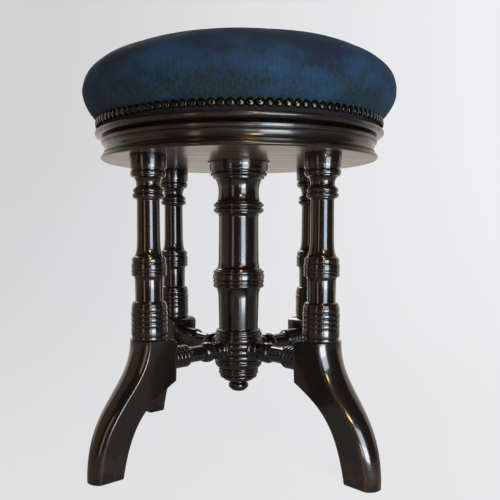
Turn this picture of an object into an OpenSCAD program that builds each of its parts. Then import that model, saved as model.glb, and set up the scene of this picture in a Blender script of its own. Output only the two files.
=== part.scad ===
// Revolving piano stool: a nailed velvet seat on an iron screw, a moulded round
// platform, a thick centre column and four turned columns on sabre legs.
// Millimetres, +Z up. The origin is on the floor, on the stool's axis.
// The seat stands at its lowest, as it is played from by a grown person.

/* [Seat] */
// Widest part of the stuffed cushion
seat_dia = 382; // [360:1:400]
// Height of the cushion above the top of its board
cushion_rise = 85.5; // [64:0.5:100]
// Height of the cushion's widest part above the top of its board
bulge_rise = 33.5; // [28:0.5:40]
// Thickness of the velvet with its wadding
velvet_t = 2.2; // [1.5:0.1:3]
// Thickness of the calico under the velvet
calico_t = 0.8; // [0.5:0.1:1.5]
// Diameter of the seat board's moulding
board_dia = 353; // [345:1:358]
// Thickness of the moulded lower part of the seat board
board_moulding_t = 7; // [6:0.5:12]
// Height of the board's rebated edge, where the covers are nailed
board_rebate_h = 13.5; // [13:0.5:18]
// Depth of the rebate
board_rebate_in = 6.2; // [5.5:0.1:7]
// Thickness of the dark edge band under the nails
band_t = 1.6; // [1:0.1:2]

/* [Nails] */
// Number of dome nails round the seat
nail_count = 112; // [96:4:116]
// Diameter of a nail's head
nail_head_dia = 9.4; // [8:0.1:9.4]
// Height of a nail's dome
nail_head_h = 2.6; // [2.2:0.1:3]
// Side of a nail's square shank
nail_shank = 1.4; // [1:0.1:1.6]
// Length of a nail's shank
nail_len = 12; // [8:0.5:14]

/* [Platform] */
// Widest diameter of the platform
platform_dia = 340; // [335:1:350]
// Thickness of the platform
platform_t = 23.5; // [20:0.5:26]
// Gap between the platform and the seat board, with the seat down
seat_gap = 2.6; // [2.2:0.2:6]

/* [Columns] */
// Length of the outer columns, from the legs to the platform
column_len = 208; // [190:0.5:230]
// Diameter of the outer columns at their widest ring
column_dia = 41.5; // [38:0.5:43]
// Distance of the outer columns from the stool's axis
column_out = 137; // [134:0.5:140]
// Diameter of the tenons at the ends of the outer columns
column_tenon_dia = 18; // [14:0.5:20]
// Length of the tenons at the ends of the outer columns
column_tenon_len = 13; // [10:0.5:14]
// Diameter of the centre column's drum, under the thin rim at its top
centre_dia = 74; // [70:0.5:80]
// How far the centre column reaches below the tops of the legs
centre_drop = 51.5; // [46:0.5:56]
// Diameter of the centre column's tenon in the platform
centre_tenon_dia = 46; // [42:0.5:50]

/* [Pendant] */
// Length of the turned pendant under the centre column
pendant_len = 31; // [24:0.5:36]
// Diameter of the pendant's disc
pendant_dia = 50.5; // [44:0.5:56]
// Diameter of the pendant's spigot
pendant_spigot_dia = 18; // [14:0.5:22]
// Length of the pendant's spigot
pendant_spigot_len = 7; // [5:0.5:8]

/* [Stretchers] */
// Diameter of the stretchers at their rings
stretcher_dia = 26.5; // [24:0.5:28]
// Height of the stretchers' axis below the tops of the legs
stretcher_drop = 26; // [24:0.5:28]
// Diameter of the stretchers' tenons
stretcher_tenon_dia = 14; // [10:0.5:15]
// Length of the tenon in the leg
stretcher_tenon_len = 14; // [10:0.5:15]
// Length of the tenon in the centre column
stretcher_root_len = 12; // [8:0.5:14]

/* [Legs] */
// Height of the legs
leg_h = 149; // [140:0.5:160]
// Distance of a leg's inner upright face from the stool's axis
leg_inner = 112; // [108:0.5:114]
// Height of the inner upright face's lower end
leg_face_low = 100; // [96:0.5:104]
// Distance of a leg's outer edge from the axis, at its top
leg_outer = 149.5; // [146:0.5:152]
// Distance of a leg's outer edge from the axis, at the floor
foot_outer = 209.5; // [195:0.5:220]
// Distance of a foot's inner edge from the axis
foot_inner = 180.5; // [170:0.5:186]
// Thickness of a leg at its top
leg_top_t = 41; // [38:0.5:43]
// Thickness of a leg at its foot
leg_foot_t = 25; // [22:0.5:32]
// Rounding of the leg's outer face, at its top, its middle and its foot
leg_crown_top = 8; // [4:0.5:9]
leg_crown_mid = 8.5; // [6:0.5:10]
leg_crown_foot = 7.5; // [5:0.5:10]
// Reach of the rounded corner at the top of the inner face, along the top
leg_corner_in = 11; // [6:0.5:12]
// Height of that corner
leg_corner_h = 6; // [3:0.5:8]

/* [Screw] */
// Diameter of the iron screw
screw_dia = 20; // [16:0.5:22]
// Height that the seat rises from its rest place until the stop washer meets the nut
screw_rise = 99; // [80:1:105]
// Diameter of the screw's journal for the stop washer
journal_dia = 12; // [10:0.5:13]
// Diameter of the stop washer
stop_dia = 27.6; // [26:0.2:28]
// Thickness of the stop washer
stop_t = 5; // [4:0.5:7]
// Side of the square nut at the screw's end
end_nut_side = 19; // [17:0.5:20]
// Thickness of the square nut
end_nut_t = 10; // [8:0.5:12]
// Diameter of the pin through the square nut
end_pin_dia = 3; // [2:0.5:4]
// Diameter of the round plate under the seat
plate_dia = 104; // [90:1:130]
// Thickness of the round plate
plate_t = 5; // [4:0.5:7]
// Diameter and height of the plate's boss
plate_boss_dia = 34; // [30:1:40]
plate_boss_h = 9; // [6:0.5:10]
// Diameter of the nut's flange on the platform
flange_dia = 72; // [66:1:90]
// Thickness of the nut's flange
flange_t = 4; // [3:0.5:5]
// Diameter of the nut's barrel
barrel_dia = 29.6; // [28:0.2:30]
// Length of the nut's barrel below its flange
barrel_len = 46; // [35:1:55]
// Diameter of the bore in the centre column
column_bore_dia = 30; // [30:0.2:32]

/* [Wood screws] */
// Diameter of a wood screw's shank
wood_screw_dia = 4.4; // [3.5:0.1:5]
// Diameter of a wood screw's countersunk head
wood_screw_head_dia = 8.8; // [7:0.2:9]
// Length of a wood screw under the plate
plate_screw_len = 15; // [12:1:16]
// Length of a wood screw under the nut's flange
flange_screw_len = 13; // [10:1:14]

/* [Hidden] */
$fn = 96;

// One overrun for every cut, one running fit for the iron, and one easy gap for what only lies near
overrun = 1;
running_fit = 0.1;
easy = 0.3;

// Directions of the four legs, from +X
front_left = 225;
front_right = 315;
back_left = 135;
back_right = 45;

// Heights of the wooden frame
platform_low = leg_h + column_len;
platform_top = platform_low + platform_t;
centre_low = leg_h - centre_drop;
centre_len = platform_low - centre_low;
stretcher_z = leg_h - stretcher_drop;

// Heights of the seat, at rest
board_low = platform_top + seat_gap;
rebate_z = board_low + board_moulding_t;
board_top = rebate_z + board_rebate_h;
nail_z = board_top - nail_head_dia / 2 - easy;
hem_z = nail_z + nail_shank;
cushion_top = board_top + cushion_rise;
board_r = board_dia / 2;
rebate_r = board_r - board_rebate_in;

// Heights of the iron, at rest
flange_z = platform_top - flange_t;
barrel_low = flange_z - barrel_len;
stop_z = barrel_low - screw_rise - stop_t;
end_nut_z = stop_z - easy - end_nut_t;
screw_end_z = end_nut_z - end_nut_t / 4;
bore_low = screw_end_z - end_nut_t;
tenon_top = flange_z - easy;

// How many steps a turned curve takes, and the crown of the cushion
bead_steps = 6;
cove_steps = 7;
crown_steps = 16;
side_steps = 8;
crown_width_power = 0.764;
crown_height_power = 0.67;
crown_dip_share = 0.163;
side_power = 0.75;

// Turner's marks. Each row is a form, its height as a share of the whole, and its two
// radius shares: start and end, or for a bead and a band, edge and crown.
outer_column_shares = [
    ["bead", 0.0221, 0.94, 0.965], ["line", 0.0024, 0.925, 0.925],
    ["band", 0.0442, 0.965, 0.99], ["line", 0.0024, 0.94, 0.94],
    ["bead", 0.0264, 0.955, 0.99], ["line", 0.0019, 0.94, 0.94],
    ["bead", 0.0250, 0.955, 0.99], ["line", 0.0019, 0.94, 0.94],
    ["bead", 0.0284, 0.955, 1.00], ["line", 0.0029, 0.935, 0.935],
    ["bead", 0.0269, 0.94, 0.975], ["line", 0.0038, 0.95, 0.95],
    ["ovolo", 0.0212, 0.93, 0.775], ["line", 0.1144, 0.755, 0.77],
    ["cove", 0.0231, 0.77, 0.90], ["line", 0.0019, 0.92, 0.92],
    ["bead", 0.0154, 0.93, 0.955], ["line", 0.0024, 0.915, 0.915],
    ["bead", 0.0159, 0.93, 0.96], ["line", 0.0029, 0.915, 0.915],
    ["round", 0.0303, 0.96, 0.925], ["line", 0.0029, 0.90, 0.90],
    ["bead", 0.0245, 0.895, 0.925], ["line", 0.0067, 0.865, 0.865],
    ["cove", 0.0808, 0.845, 0.64], ["line", 0.2173, 0.635, 0.62],
    ["cove", 0.0125, 0.62, 0.73], ["line", 0.0048, 0.76, 0.76],
    ["bead", 0.0240, 0.79, 0.855], ["line", 0.0038, 0.775, 0.775],
    ["bead", 0.0212, 0.78, 0.83], ["line", 0.0058, 0.745, 0.745],
    ["cove", 0.0144, 0.72, 0.645], ["cove", 0.0413, 0.645, 0.88],
    ["line", 0.0058, 0.905, 0.905], ["bead", 0.0288, 0.915, 0.965],
    ["line", 0.0106, 0.91, 0.91], ["line", 0.0788, 0.985, 1.00]];
centre_column_shares = [
    ["ovolo", 0.0308, 0.62, 0.815], ["bead", 0.0166, 0.795, 0.825],
    ["bead", 0.0250, 0.80, 0.84], ["bead", 0.0285, 0.80, 0.84],
    ["bead", 0.0297, 0.80, 0.84], ["bead", 0.0247, 0.80, 0.84],
    ["line", 0.0039, 0.775, 0.775], ["bead", 0.0170, 0.77, 0.81],
    ["line", 0.0039, 0.775, 0.775], ["bead", 0.0100, 0.735, 0.76],
    ["cove", 0.0077, 0.72, 0.675], ["line", 0.1511, 0.67, 0.70],
    ["cove", 0.0470, 0.70, 0.825], ["bead", 0.0181, 0.83, 0.87],
    ["line", 0.0019, 0.84, 0.84], ["bead", 0.0170, 0.845, 0.875],
    ["line", 0.0019, 0.84, 0.84], ["band", 0.0254, 0.86, 0.88],
    ["line", 0.0019, 0.83, 0.83], ["bead", 0.0162, 0.835, 0.865],
    ["line", 0.0069, 0.80, 0.80], ["cove", 0.0331, 0.785, 0.695],
    ["line", 0.2158, 0.69, 0.677], ["cove", 0.0193, 0.68, 0.78],
    ["line", 0.0046, 0.79, 0.79], ["bead", 0.0208, 0.80, 0.855],
    ["line", 0.0035, 0.785, 0.785], ["bead", 0.0208, 0.80, 0.855],
    ["line", 0.0058, 0.785, 0.785], ["cove", 0.0466, 0.765, 0.69],
    ["cove", 0.0628, 0.69, 0.845], ["line", 0.0046, 0.865, 0.865],
    ["cove", 0.0077, 0.87, 0.915], ["bead", 0.0177, 0.92, 0.965],
    ["line", 0.0035, 0.915, 0.915], ["ovolo", 0.0173, 0.945, 0.985],
    ["line", 0.0239, 0.985, 1.00], ["line", 0.0069, 1.05, 1.05]];
pendant_shares = [
    ["ovolo", 0.1290, 0.00, 0.40], ["bead", 0.2452, 0.41, 0.505],
    ["cove", 0.0387, 0.43, 0.385], ["line", 0.0323, 0.385, 0.385],
    ["ovolo", 0.1355, 0.42, 0.78], ["line", 0.0161, 0.80, 0.80],
    ["bead", 0.1355, 0.86, 0.935], ["line", 0.0161, 0.88, 0.88],
    ["bead", 0.1290, 0.965, 1.00], ["line", 0.0129, 0.93, 0.93],
    ["bead", 0.0871, 0.965, 1.00], ["line", 0.0226, 0.91, 0.91]];
stretcher_shares = [
    ["line", 0.0351, 1.00, 1.00], ["ovolo", 0.0211, 1.00, 0.88],
    ["cove", 0.0749, 0.85, 0.70], ["bead", 0.0327, 0.72, 0.80],
    ["line", 0.0117, 0.70, 0.70], ["line", 0.0468, 0.69, 0.70],
    ["bead", 0.1696, 0.72, 0.93], ["line", 0.0117, 0.71, 0.71],
    ["line", 0.1871, 0.695, 0.71], ["cove", 0.0994, 0.72, 0.90],
    ["bead", 0.0573, 0.94, 1.00], ["line", 0.0047, 0.90, 0.90],
    ["bead", 0.0573, 0.94, 1.00], ["line", 0.0047, 0.90, 0.90],
    ["bead", 0.0573, 0.94, 1.00], ["line", 0.0047, 0.90, 0.90],
    ["bead", 0.0573, 0.94, 1.00], ["line", 0.0047, 0.90, 0.90],
    ["bead", 0.0573, 0.94, 1.00], ["line", 0.0047, 0.90, 0.90]];
platform_edge_shares = [
    ["ovolo", 0.0894, 0.984, 1.00], ["round", 0.1362, 1.00, 0.982],
    ["line", 0.0213, 0.9725, 0.9725], ["bead", 0.0638, 0.975, 0.9785],
    ["line", 0.0213, 0.970, 0.970], ["cove", 0.1915, 0.980, 0.9725],
    ["cove", 0.2511, 0.9725, 0.989], ["line", 0.0213, 0.984, 0.984],
    ["line", 0.1362, 0.991, 0.9955], ["round", 0.0679, 0.9955, 0.986]];
board_edge_shares = [
    ["ovolo", 0.5500, 0.960, 1.00], ["line", 0.1500, 1.00, 1.00],
    ["round", 0.3000, 1.00, 0.985]];

// Radius at one step along a turned form, from 0 to 1
function form_r(kind, a, b, s) =
    kind == "bead" ? a + (b - a) * sin(180 * s) :
    kind == "band" ? a + (b - a) * pow(sin(180 * s), 0.25) :
    kind == "cove" ? (b > a ? a + (b - a) * (1 - cos(90 * s)) : a + (b - a) * sin(90 * s)) :
    kind == "ovolo" ? (b > a ? a + (b - a) * sin(90 * s) : a + (b - a) * (1 - cos(90 * s))) :
    kind == "round" ? a + (b - a) * (1 - cos(90 * s)) :
    a + (b - a) * s;

// Height at that step, from 0 to 1
function form_z(kind, a, b, s) =
    kind == "bead" || kind == "band" ? (1 - cos(180 * s)) / 2 :
    kind == "cove" ? (b > a ? sin(90 * s) : 1 - cos(90 * s)) :
    kind == "ovolo" ? (b > a ? 1 - cos(90 * s) : sin(90 * s)) :
    kind == "round" ? sin(90 * s) :
    s;

function form_steps(kind) = kind == "line" ? 1 : kind == "cove" ? cove_steps : bead_steps;

// Total of the first n height shares
function share_sum(rows, n) = n == 0 ? 0 : rows[n - 1][1] + share_sum(rows, n - 1);

// Points of a turned outline, from its lower end up
function turned_points(rows, len, r) =
    let (whole = share_sum(rows, len(rows)))
    [for (i = [0 : len(rows) - 1])
        let (kind = rows[i][0], a = rows[i][2], b = rows[i][3], steps = form_steps(kind),
            low = share_sum(rows, i), h = rows[i][1])
        for (j = [0 : steps])
            [r * form_r(kind, a, b, j / steps),
             len * (low + h * form_z(kind, a, b, j / steps)) / whole]];

// A turned piece on the Z axis, from z = 0 up to len
module turned(rows, len, r) {
    rotate_extrude() polygon(concat([[0, 0]], turned_points(rows, len, r), [[0, len]]));
}

module spindle(d, z0, z1) {
    translate([0, 0, z0]) cylinder(d = d, h = z1 - z0);
}

module ring(d_out, d_in, z0, z1) {
    difference() {
        spindle(d_out, z0, z1);
        spindle(d_in, z0 - overrun, z1 + overrun);
    }
}

// Children at the foot of one leg's plane: X runs outwards
module on_leg(direction) {
    rotate([0, 0, direction]) children();
}

// Outline of the cushion, drawn in by a lining's depth: the hem, the bulging side and the crown
function cushion_outline(inset, low) =
    let (r = seat_dia / 2 - inset, foot_r = rebate_r + velvet_t + calico_t - inset,
        bulge_z = board_top + bulge_rise, top = cushion_top - inset,
        crown_low = bulge_z - crown_dip_share * (top - bulge_z),
        start = acos(pow((bulge_z - crown_low) / (top - crown_low), 1 / crown_height_power)))
    concat(
        [[foot_r, low]],
        [for (i = [0 : side_steps])
            [foot_r + (r - foot_r) * pow(sin(90 * i / side_steps), side_power),
             board_top + bulge_rise * (i / side_steps)]],
        [for (i = [1 : crown_steps])
            let (a = start * (1 - i / crown_steps))
            [r * pow(sin(a), crown_width_power),
             crown_low + (top - crown_low) * pow(cos(a), crown_height_power)]]);

// A cap of cloth between two depths in the cushion, open below, with its hem down the rebate
module cloth_cap(inset, t, low) {
    rotate_extrude() difference() {
        polygon(concat([[0, low]], cushion_outline(inset, low)));
        polygon(concat([[0, low - overrun]], cushion_outline(inset + t, low - overrun)));
    }
}

module velvet_cover() {
    color([0.07, 0.2, 0.3]) cloth_cap(0, velvet_t, hem_z);
}

module calico_cover() {
    color([0.82, 0.77, 0.65]) cloth_cap(velvet_t, calico_t, hem_z);
}

module hair_stuffing() {
    color([0.25, 0.2, 0.15]) rotate_extrude()
        polygon(concat([[0, board_top]],
            [for (p = cushion_outline(velvet_t + calico_t + easy, board_top)) if (p[1] >= board_top) p]));
}

// Children round the edge of the seat board, one to a nail, with X along its shank
module at_nails() {
    for (i = [0 : nail_count - 1])
        rotate([0, 0, 360 * i / nail_count]) translate([0, 0, nail_z]) rotate([0, 90, 0]) children();
}

module square_bar(side, z0, z1) {
    translate([0, 0, z0]) rotate([0, 0, 45]) cylinder(d = side * sqrt(2), h = z1 - z0, $fn = 4);
}

nail_back = rebate_r + velvet_t + calico_t + easy;
nail_point = nail_back - nail_len;

// Corners of a nail in its own frame: X out along the shank, the rim of its head at the back.
// The head has a rim, a ring half way up its dome, and a crown; the shank is square.
head_sides = 8;
dome_r = (pow(nail_head_dia / 2, 2) + pow(nail_head_h, 2)) / (2 * nail_head_h);
dome_half_angle = asin(nail_head_dia / 2 / dome_r);
function level_ring(x, r, sides) =
    [for (k = [0 : sides - 1]) [x, r * cos(45 + 360 * k / sides), r * sin(45 + 360 * k / sides)]];
function dome_ring(s) = let (a = dome_half_angle * (1 - s))
    level_ring(nail_back + nail_head_h - dome_r * (1 - cos(a)), dome_r * sin(a), head_sides);
nail_corners = concat(dome_ring(0), dome_ring(0.5), [[nail_back + nail_head_h, 0, 0]],
    level_ring(nail_back, nail_shank / sqrt(2), 4), level_ring(nail_point, nail_shank / sqrt(2), 4));
crown_corner = 2 * head_sides;
neck = crown_corner + 1;
point = neck + 4;
nail_faces = concat(
    [for (k = [0 : head_sides - 1]) let (m = (k + 1) % head_sides)
        [k, k + head_sides, m + head_sides, m]],
    [for (k = [0 : head_sides - 1]) [k + head_sides, crown_corner, (k + 1) % head_sides + head_sides]],
    [for (j = [0 : 3])
        [2 * j, 2 * j + 1, (2 * j + 2) % head_sides, neck + (j + 1) % 4, neck + j]],
    [for (j = [0 : 3]) [neck + j, neck + (j + 1) % 4, point + (j + 1) % 4, point + j]],
    [[for (j = [0 : 3]) point + j]]);

module dome_nails() {
    corners = len(nail_corners);
    color([0.3, 0.24, 0.14]) polyhedron(
        points = [for (i = [0 : nail_count - 1]) let (a = 360 * i / nail_count) for (p = nail_corners)
            [p[0] * cos(a) - p[1] * sin(a), p[0] * sin(a) + p[1] * cos(a), nail_z + p[2]]],
        faces = [for (i = [0 : nail_count - 1]) for (f = nail_faces) [for (k = f) k + corners * i]]);
}

module edge_band() {
    color([0.03, 0.03, 0.05])
        ring(2 * (rebate_r + band_t), 2 * (rebate_r + running_fit), rebate_z, nail_z - nail_shank);
}

// Children at the four screws of the seat plate, pointing up
module at_plate_screws() {
    for (a = [0, 90, 180, 270])
        rotate([0, 0, a]) translate([(plate_dia + plate_boss_dia) / 4, 0, board_low]) children();
}

// Children at the four screws of the nut's flange, pointing down
module at_flange_screws() {
    for (a = [45, 135, 225, 315])
        rotate([0, 0, a]) translate([(flange_dia + centre_tenon_dia) / 4, 0, platform_top])
            rotate([180, 0, 0]) children();
}

// A countersunk wood screw: its head is flush at z = 0, its shank runs up
module wood_screw(len, fit) {
    head_r = wood_screw_head_dia / 2 + fit;
    shank_r = wood_screw_dia / 2 + fit;
    rotate_extrude($fn = 32) polygon([[0, 0], [head_r, 0], [shank_r, head_r - shank_r],
        [shank_r, len], [0, len + shank_r]]);
}

module seat_board() {
    color([0.12, 0.09, 0.07]) difference() {
        union() {
            translate([0, 0, board_low]) turned(board_edge_shares, board_moulding_t, board_r);
            spindle(2 * rebate_r, board_low, board_top);
        }
        spindle(plate_dia + 2 * running_fit, board_low - overrun, board_low + plate_t);
        spindle(plate_boss_dia + 2 * running_fit, board_low, board_low + plate_t + plate_boss_h);
        at_plate_screws() wood_screw(plate_screw_len, 0);
        at_nails() square_bar(nail_shank, nail_point, rebate_r + overrun);
    }
}

module seat_plate() {
    color([0.2, 0.19, 0.18]) difference() {
        union() {
            spindle(plate_dia, board_low, board_low + plate_t);
            spindle(plate_boss_dia, board_low, board_low + plate_t + plate_boss_h);
        }
        spindle(screw_root, board_low - overrun, board_low + plate_t + plate_boss_h + overrun);
        at_plate_screws() wood_screw(plate_screw_len, running_fit);
    }
}

module plate_screws() {
    color([0.4, 0.39, 0.37]) at_plate_screws() wood_screw(plate_screw_len, 0);
}

// The screw's shouldered end in the plate
screw_root_share = 0.8;
screw_root = screw_dia * screw_root_share;

module seat_screw() {
    color([0.32, 0.31, 0.3]) difference() {
        union() {
            spindle(screw_root, board_low, board_low + plate_t + plate_boss_h);
            spindle(screw_dia, stop_z + stop_t + easy, board_low);
            spindle(journal_dia, screw_end_z, stop_z + stop_t + easy);
        }
        end_pin_hole();
    }
}

module end_pin_hole() {
    translate([0, 0, end_nut_z + end_nut_t / 2]) rotate([0, 90, 0])
        cylinder(d = end_pin_dia, h = end_nut_side + 2 * overrun, center = true, $fn = 32);
}

module end_nut() {
    color([0.25, 0.24, 0.23]) difference() {
        translate([-end_nut_side / 2, -end_nut_side / 2, end_nut_z])
            cube([end_nut_side, end_nut_side, end_nut_t]);
        spindle(journal_dia, end_nut_z - overrun, end_nut_z + end_nut_t + overrun);
        end_pin_hole();
    }
}

module end_pin() {
    color([0.5, 0.48, 0.45]) translate([0, 0, end_nut_z + end_nut_t / 2]) rotate([0, 90, 0])
        cylinder(d = end_pin_dia, h = end_nut_side, center = true, $fn = 32);
}

module stop_washer() {
    color([0.4, 0.39, 0.37]) ring(stop_dia, journal_dia + 2 * running_fit, stop_z, stop_z + stop_t);
}

module column_nut() {
    color([0.22, 0.21, 0.2]) difference() {
        union() {
            spindle(flange_dia, flange_z, platform_top);
            spindle(barrel_dia, barrel_low, platform_top);
        }
        spindle(screw_dia + 2 * running_fit, barrel_low - overrun, platform_top + overrun);
        at_flange_screws() wood_screw(flange_screw_len, running_fit);
    }
}

module nut_screws() {
    color([0.4, 0.39, 0.37]) at_flange_screws() wood_screw(flange_screw_len, 0);
}

module platform() {
    color([0.1, 0.08, 0.07]) difference() {
        translate([0, 0, platform_low]) turned(platform_edge_shares, platform_t, platform_dia / 2);
        spindle(centre_tenon_dia, platform_low - overrun, flange_z + overrun);
        spindle(flange_dia + 2 * running_fit, flange_z, platform_top + overrun);
        at_flange_screws() wood_screw(flange_screw_len, 0);
        for (a = [front_left, front_right, back_left, back_right]) on_leg(a)
            translate([column_out, 0, 0]) spindle(column_tenon_dia, platform_low - overrun,
                platform_low + column_tenon_len + easy);
    }
}

// Where a stretcher's flange beds on the round boss of the centre column
boss_r = centre_dia / 2 * centre_column_shares[2][2];
boss_seat = sqrt(pow(boss_r, 2) - pow(stretcher_dia / 2, 2));
stretcher_len = leg_inner - boss_seat;

module centre_column() {
    color([0.09, 0.07, 0.06]) difference() {
        union() {
            translate([0, 0, centre_low]) turned(centre_column_shares, centre_len, centre_dia / 2);
            spindle(centre_tenon_dia, platform_low, tenon_top);
        }
        spindle(column_bore_dia, bore_low, tenon_top + overrun);
        spindle(pendant_spigot_dia, centre_low - overrun, centre_low + pendant_spigot_len + easy);
        for (a = [front_left, front_right, back_left, back_right]) on_leg(a)
            translate([0, 0, stretcher_z]) rotate([0, 90, 0]) {
                spindle(stretcher_dia, boss_seat, centre_dia / 2 + overrun);
                spindle(stretcher_tenon_dia, boss_seat - stretcher_root_len - easy, boss_seat + overrun);
            }
    }
}

module pendant_finial() {
    color([0.1, 0.08, 0.07]) union() {
        translate([0, 0, centre_low - pendant_len]) turned(pendant_shares, pendant_len, pendant_dia / 2);
        spindle(pendant_spigot_dia, centre_low - easy, centre_low + pendant_spigot_len);
    }
}

module outer_column(direction) {
    color([0.11, 0.08, 0.07]) on_leg(direction) translate([column_out, 0, 0]) union() {
        translate([0, 0, leg_h]) turned(outer_column_shares, column_len, column_dia / 2);
        spindle(column_tenon_dia, leg_h - column_tenon_len, leg_h + easy);
        spindle(column_tenon_dia, platform_low - easy, platform_low + column_tenon_len);
    }
}

module stretcher(direction) {
    color([0.12, 0.09, 0.07]) on_leg(direction) translate([0, 0, stretcher_z]) rotate([0, 90, 0]) union() {
        translate([0, 0, boss_seat]) turned(stretcher_shares, stretcher_len, stretcher_dia / 2);
        spindle(stretcher_tenon_dia, boss_seat - stretcher_root_len, boss_seat + easy);
        spindle(stretcher_tenon_dia, leg_inner - easy, leg_inner + stretcher_tenon_len);
    }
}

// Side outlines of the leg, as curves from its top to the floor: distance from the axis, by height
function curve_point(p, q, r, s, t) =
    pow(1 - t, 3) * p + 3 * pow(1 - t, 2) * t * q + 3 * (1 - t) * t * t * r + pow(t, 3) * s;
curve_steps = 40;
function side_curve(p, q, r, s) = [for (i = [curve_steps : -1 : 0])
    let (c = curve_point(p, q, r, s, i / curve_steps)) [c[1], c[0]]];

// Pulls of the curves' handles: along the leg's spread, and up its height
outer_pull_shares = [0.00, 0.63, 0.99, 0.565];
inner_pull_shares = [0.55, 0.79, 0.86, 0.655];
outer_curve = side_curve([leg_outer, leg_h],
    [leg_outer + outer_pull_shares[0] * (foot_outer - leg_outer), leg_h * outer_pull_shares[1]],
    [leg_outer + outer_pull_shares[2] * (foot_outer - leg_outer), leg_h * outer_pull_shares[3]],
    [foot_outer, 0]);
inner_curve = side_curve([leg_inner, leg_face_low],
    [leg_inner + inner_pull_shares[0] * (foot_inner - leg_inner), leg_face_low * inner_pull_shares[1]],
    [leg_inner + inner_pull_shares[2] * (foot_inner - leg_inner), leg_face_low * inner_pull_shares[3]],
    [foot_inner, 0]);

function corner_in(z) = let (d = z - leg_h + leg_corner_h)
    d <= 0 ? 0 : leg_corner_in * (1 - sqrt(max(0, 1 - pow(d / leg_corner_h, 2))));
function leg_in(z) = z >= leg_face_low ? leg_inner + corner_in(z) : lookup(z, inner_curve);
function leg_out(z) = lookup(z, outer_curve);
function leg_half(z) = (leg_foot_t + (leg_top_t - leg_foot_t) * z / leg_h) / 2;
function leg_crown(z) =
    lookup(z, [[0, leg_crown_foot], [leg_h / 2, leg_crown_mid], [leg_h, leg_crown_top]]);

// One level section of the leg: flat sides, a flat inner face and a rounded outer face
crown_points = 8;
function leg_section(z) =
    let (h = leg_half(z), c = leg_crown(z), r = (h * h + c * c) / (2 * c), s = leg_out(z))
    concat([[leg_in(z), h, z], [leg_in(z), -h, z]],
        [for (i = [0 : crown_points]) let (y = h * (2 * i / crown_points - 1))
            [s + sqrt(r * r - y * y) - (r - c), y, z]]);

// Level stations up the leg, closer where its outline turns
sabre_steps = 16;
block_steps = 4;
foot_levels = [for (i = [0 : sabre_steps]) leg_face_low * i / sabre_steps];
block_levels = [for (i = [1 : block_steps])
    leg_face_low + (leg_h - leg_corner_h - leg_face_low) * i / block_steps];
corner_levels = [for (i = [1 : block_steps])
    leg_h - leg_corner_h + leg_corner_h * sin(90 * i / block_steps)];
leg_levels = concat([-overrun], foot_levels, block_levels, corner_levels);

module leg_loft() {
    n = crown_points + 3;
    last = (len(leg_levels) - 1) * n;
    polyhedron(points = [for (z = leg_levels) for (p = leg_section(z)) p],
        faces = concat(
            [[for (j = [0 : n - 1]) j]],
            [for (i = [0 : len(leg_levels) - 2]) for (j = [0 : n - 1])
                let (a = i * n + j, b = i * n + (j + 1) % n) for (f = [[a, a + n, b + n], [a, b + n, b]]) f],
            [[for (j = [n - 1 : -1 : 0]) last + j]]));
}

module leg(direction) {
    color([0.14, 0.09, 0.06]) on_leg(direction) difference() {
        leg_loft();
        translate([0, -leg_top_t, -2 * overrun]) cube([2 * foot_outer, 2 * leg_top_t, 2 * overrun]);
        translate([column_out, 0, 0])
            spindle(column_tenon_dia, leg_h - column_tenon_len - easy, leg_h + overrun);
        translate([0, 0, stretcher_z]) rotate([0, 90, 0])
            spindle(stretcher_tenon_dia, leg_inner - overrun, leg_inner + stretcher_tenon_len + easy);
    }
}

velvet_cover();
calico_cover();
hair_stuffing();
dome_nails();
edge_band();
seat_board();
seat_plate();
plate_screws();
seat_screw();
end_nut();
end_pin();
stop_washer();
column_nut();
nut_screws();
platform();
centre_column();
pendant_finial();
outer_column(front_left);  // front_left_column
outer_column(front_right);  // front_right_column
outer_column(back_left);  // back_left_column
outer_column(back_right);  // back_right_column
leg(front_left);  // front_left_leg
leg(front_right);  // front_right_leg
leg(back_left);  // back_left_leg
leg(back_right);  // back_right_leg
stretcher(front_left);  // front_left_stretcher
stretcher(front_right);  // front_right_stretcher
stretcher(back_left);  // back_left_stretcher
stretcher(back_right);  // back_right_stretcher
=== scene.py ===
# %% [markdown]
# # Dressing a revolving piano stool
# The stool comes to Blender as a fixed frame of plain solids. This lesson gives it its looks:
# a stuffed velvet cushion, a row of bronze nails, turned and ebonised wood, and the iron screw.
# Every piece is made in metres in the frame's own place, and rides on the body that carries it.

import math
import random

import bmesh
import bpy
from mathutils import Matrix, Vector, noise
from mathutils.geometry import interpolate_bezier


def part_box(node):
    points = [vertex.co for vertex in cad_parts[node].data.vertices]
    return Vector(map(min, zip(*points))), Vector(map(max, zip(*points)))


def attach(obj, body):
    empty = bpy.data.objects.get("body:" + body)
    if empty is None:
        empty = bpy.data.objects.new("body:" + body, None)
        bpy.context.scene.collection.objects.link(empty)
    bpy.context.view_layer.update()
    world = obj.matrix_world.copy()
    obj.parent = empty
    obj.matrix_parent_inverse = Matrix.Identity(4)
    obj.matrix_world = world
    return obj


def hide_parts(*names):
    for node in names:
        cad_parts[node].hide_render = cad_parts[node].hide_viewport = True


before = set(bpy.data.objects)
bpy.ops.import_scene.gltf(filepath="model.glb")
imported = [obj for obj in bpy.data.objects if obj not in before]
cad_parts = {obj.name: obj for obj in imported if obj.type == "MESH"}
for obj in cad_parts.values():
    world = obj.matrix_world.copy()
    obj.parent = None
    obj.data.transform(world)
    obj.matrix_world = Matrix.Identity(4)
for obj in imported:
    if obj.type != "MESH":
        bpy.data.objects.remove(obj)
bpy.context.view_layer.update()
MM = 0.001

# %% [markdown]
# ## Reading sizes from the frame
# A dressed piece must sit where its solid sits, so its sizes are read from the solid and not
# typed again. A box gives heights. A turned piece also needs a radius, which is the largest
# distance of its solid's corners from the line that it was turned about.

# %% Heights and reaches of the solids
def low(node):
    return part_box(node)[0].z


def high(node):
    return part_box(node)[1].z


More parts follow.
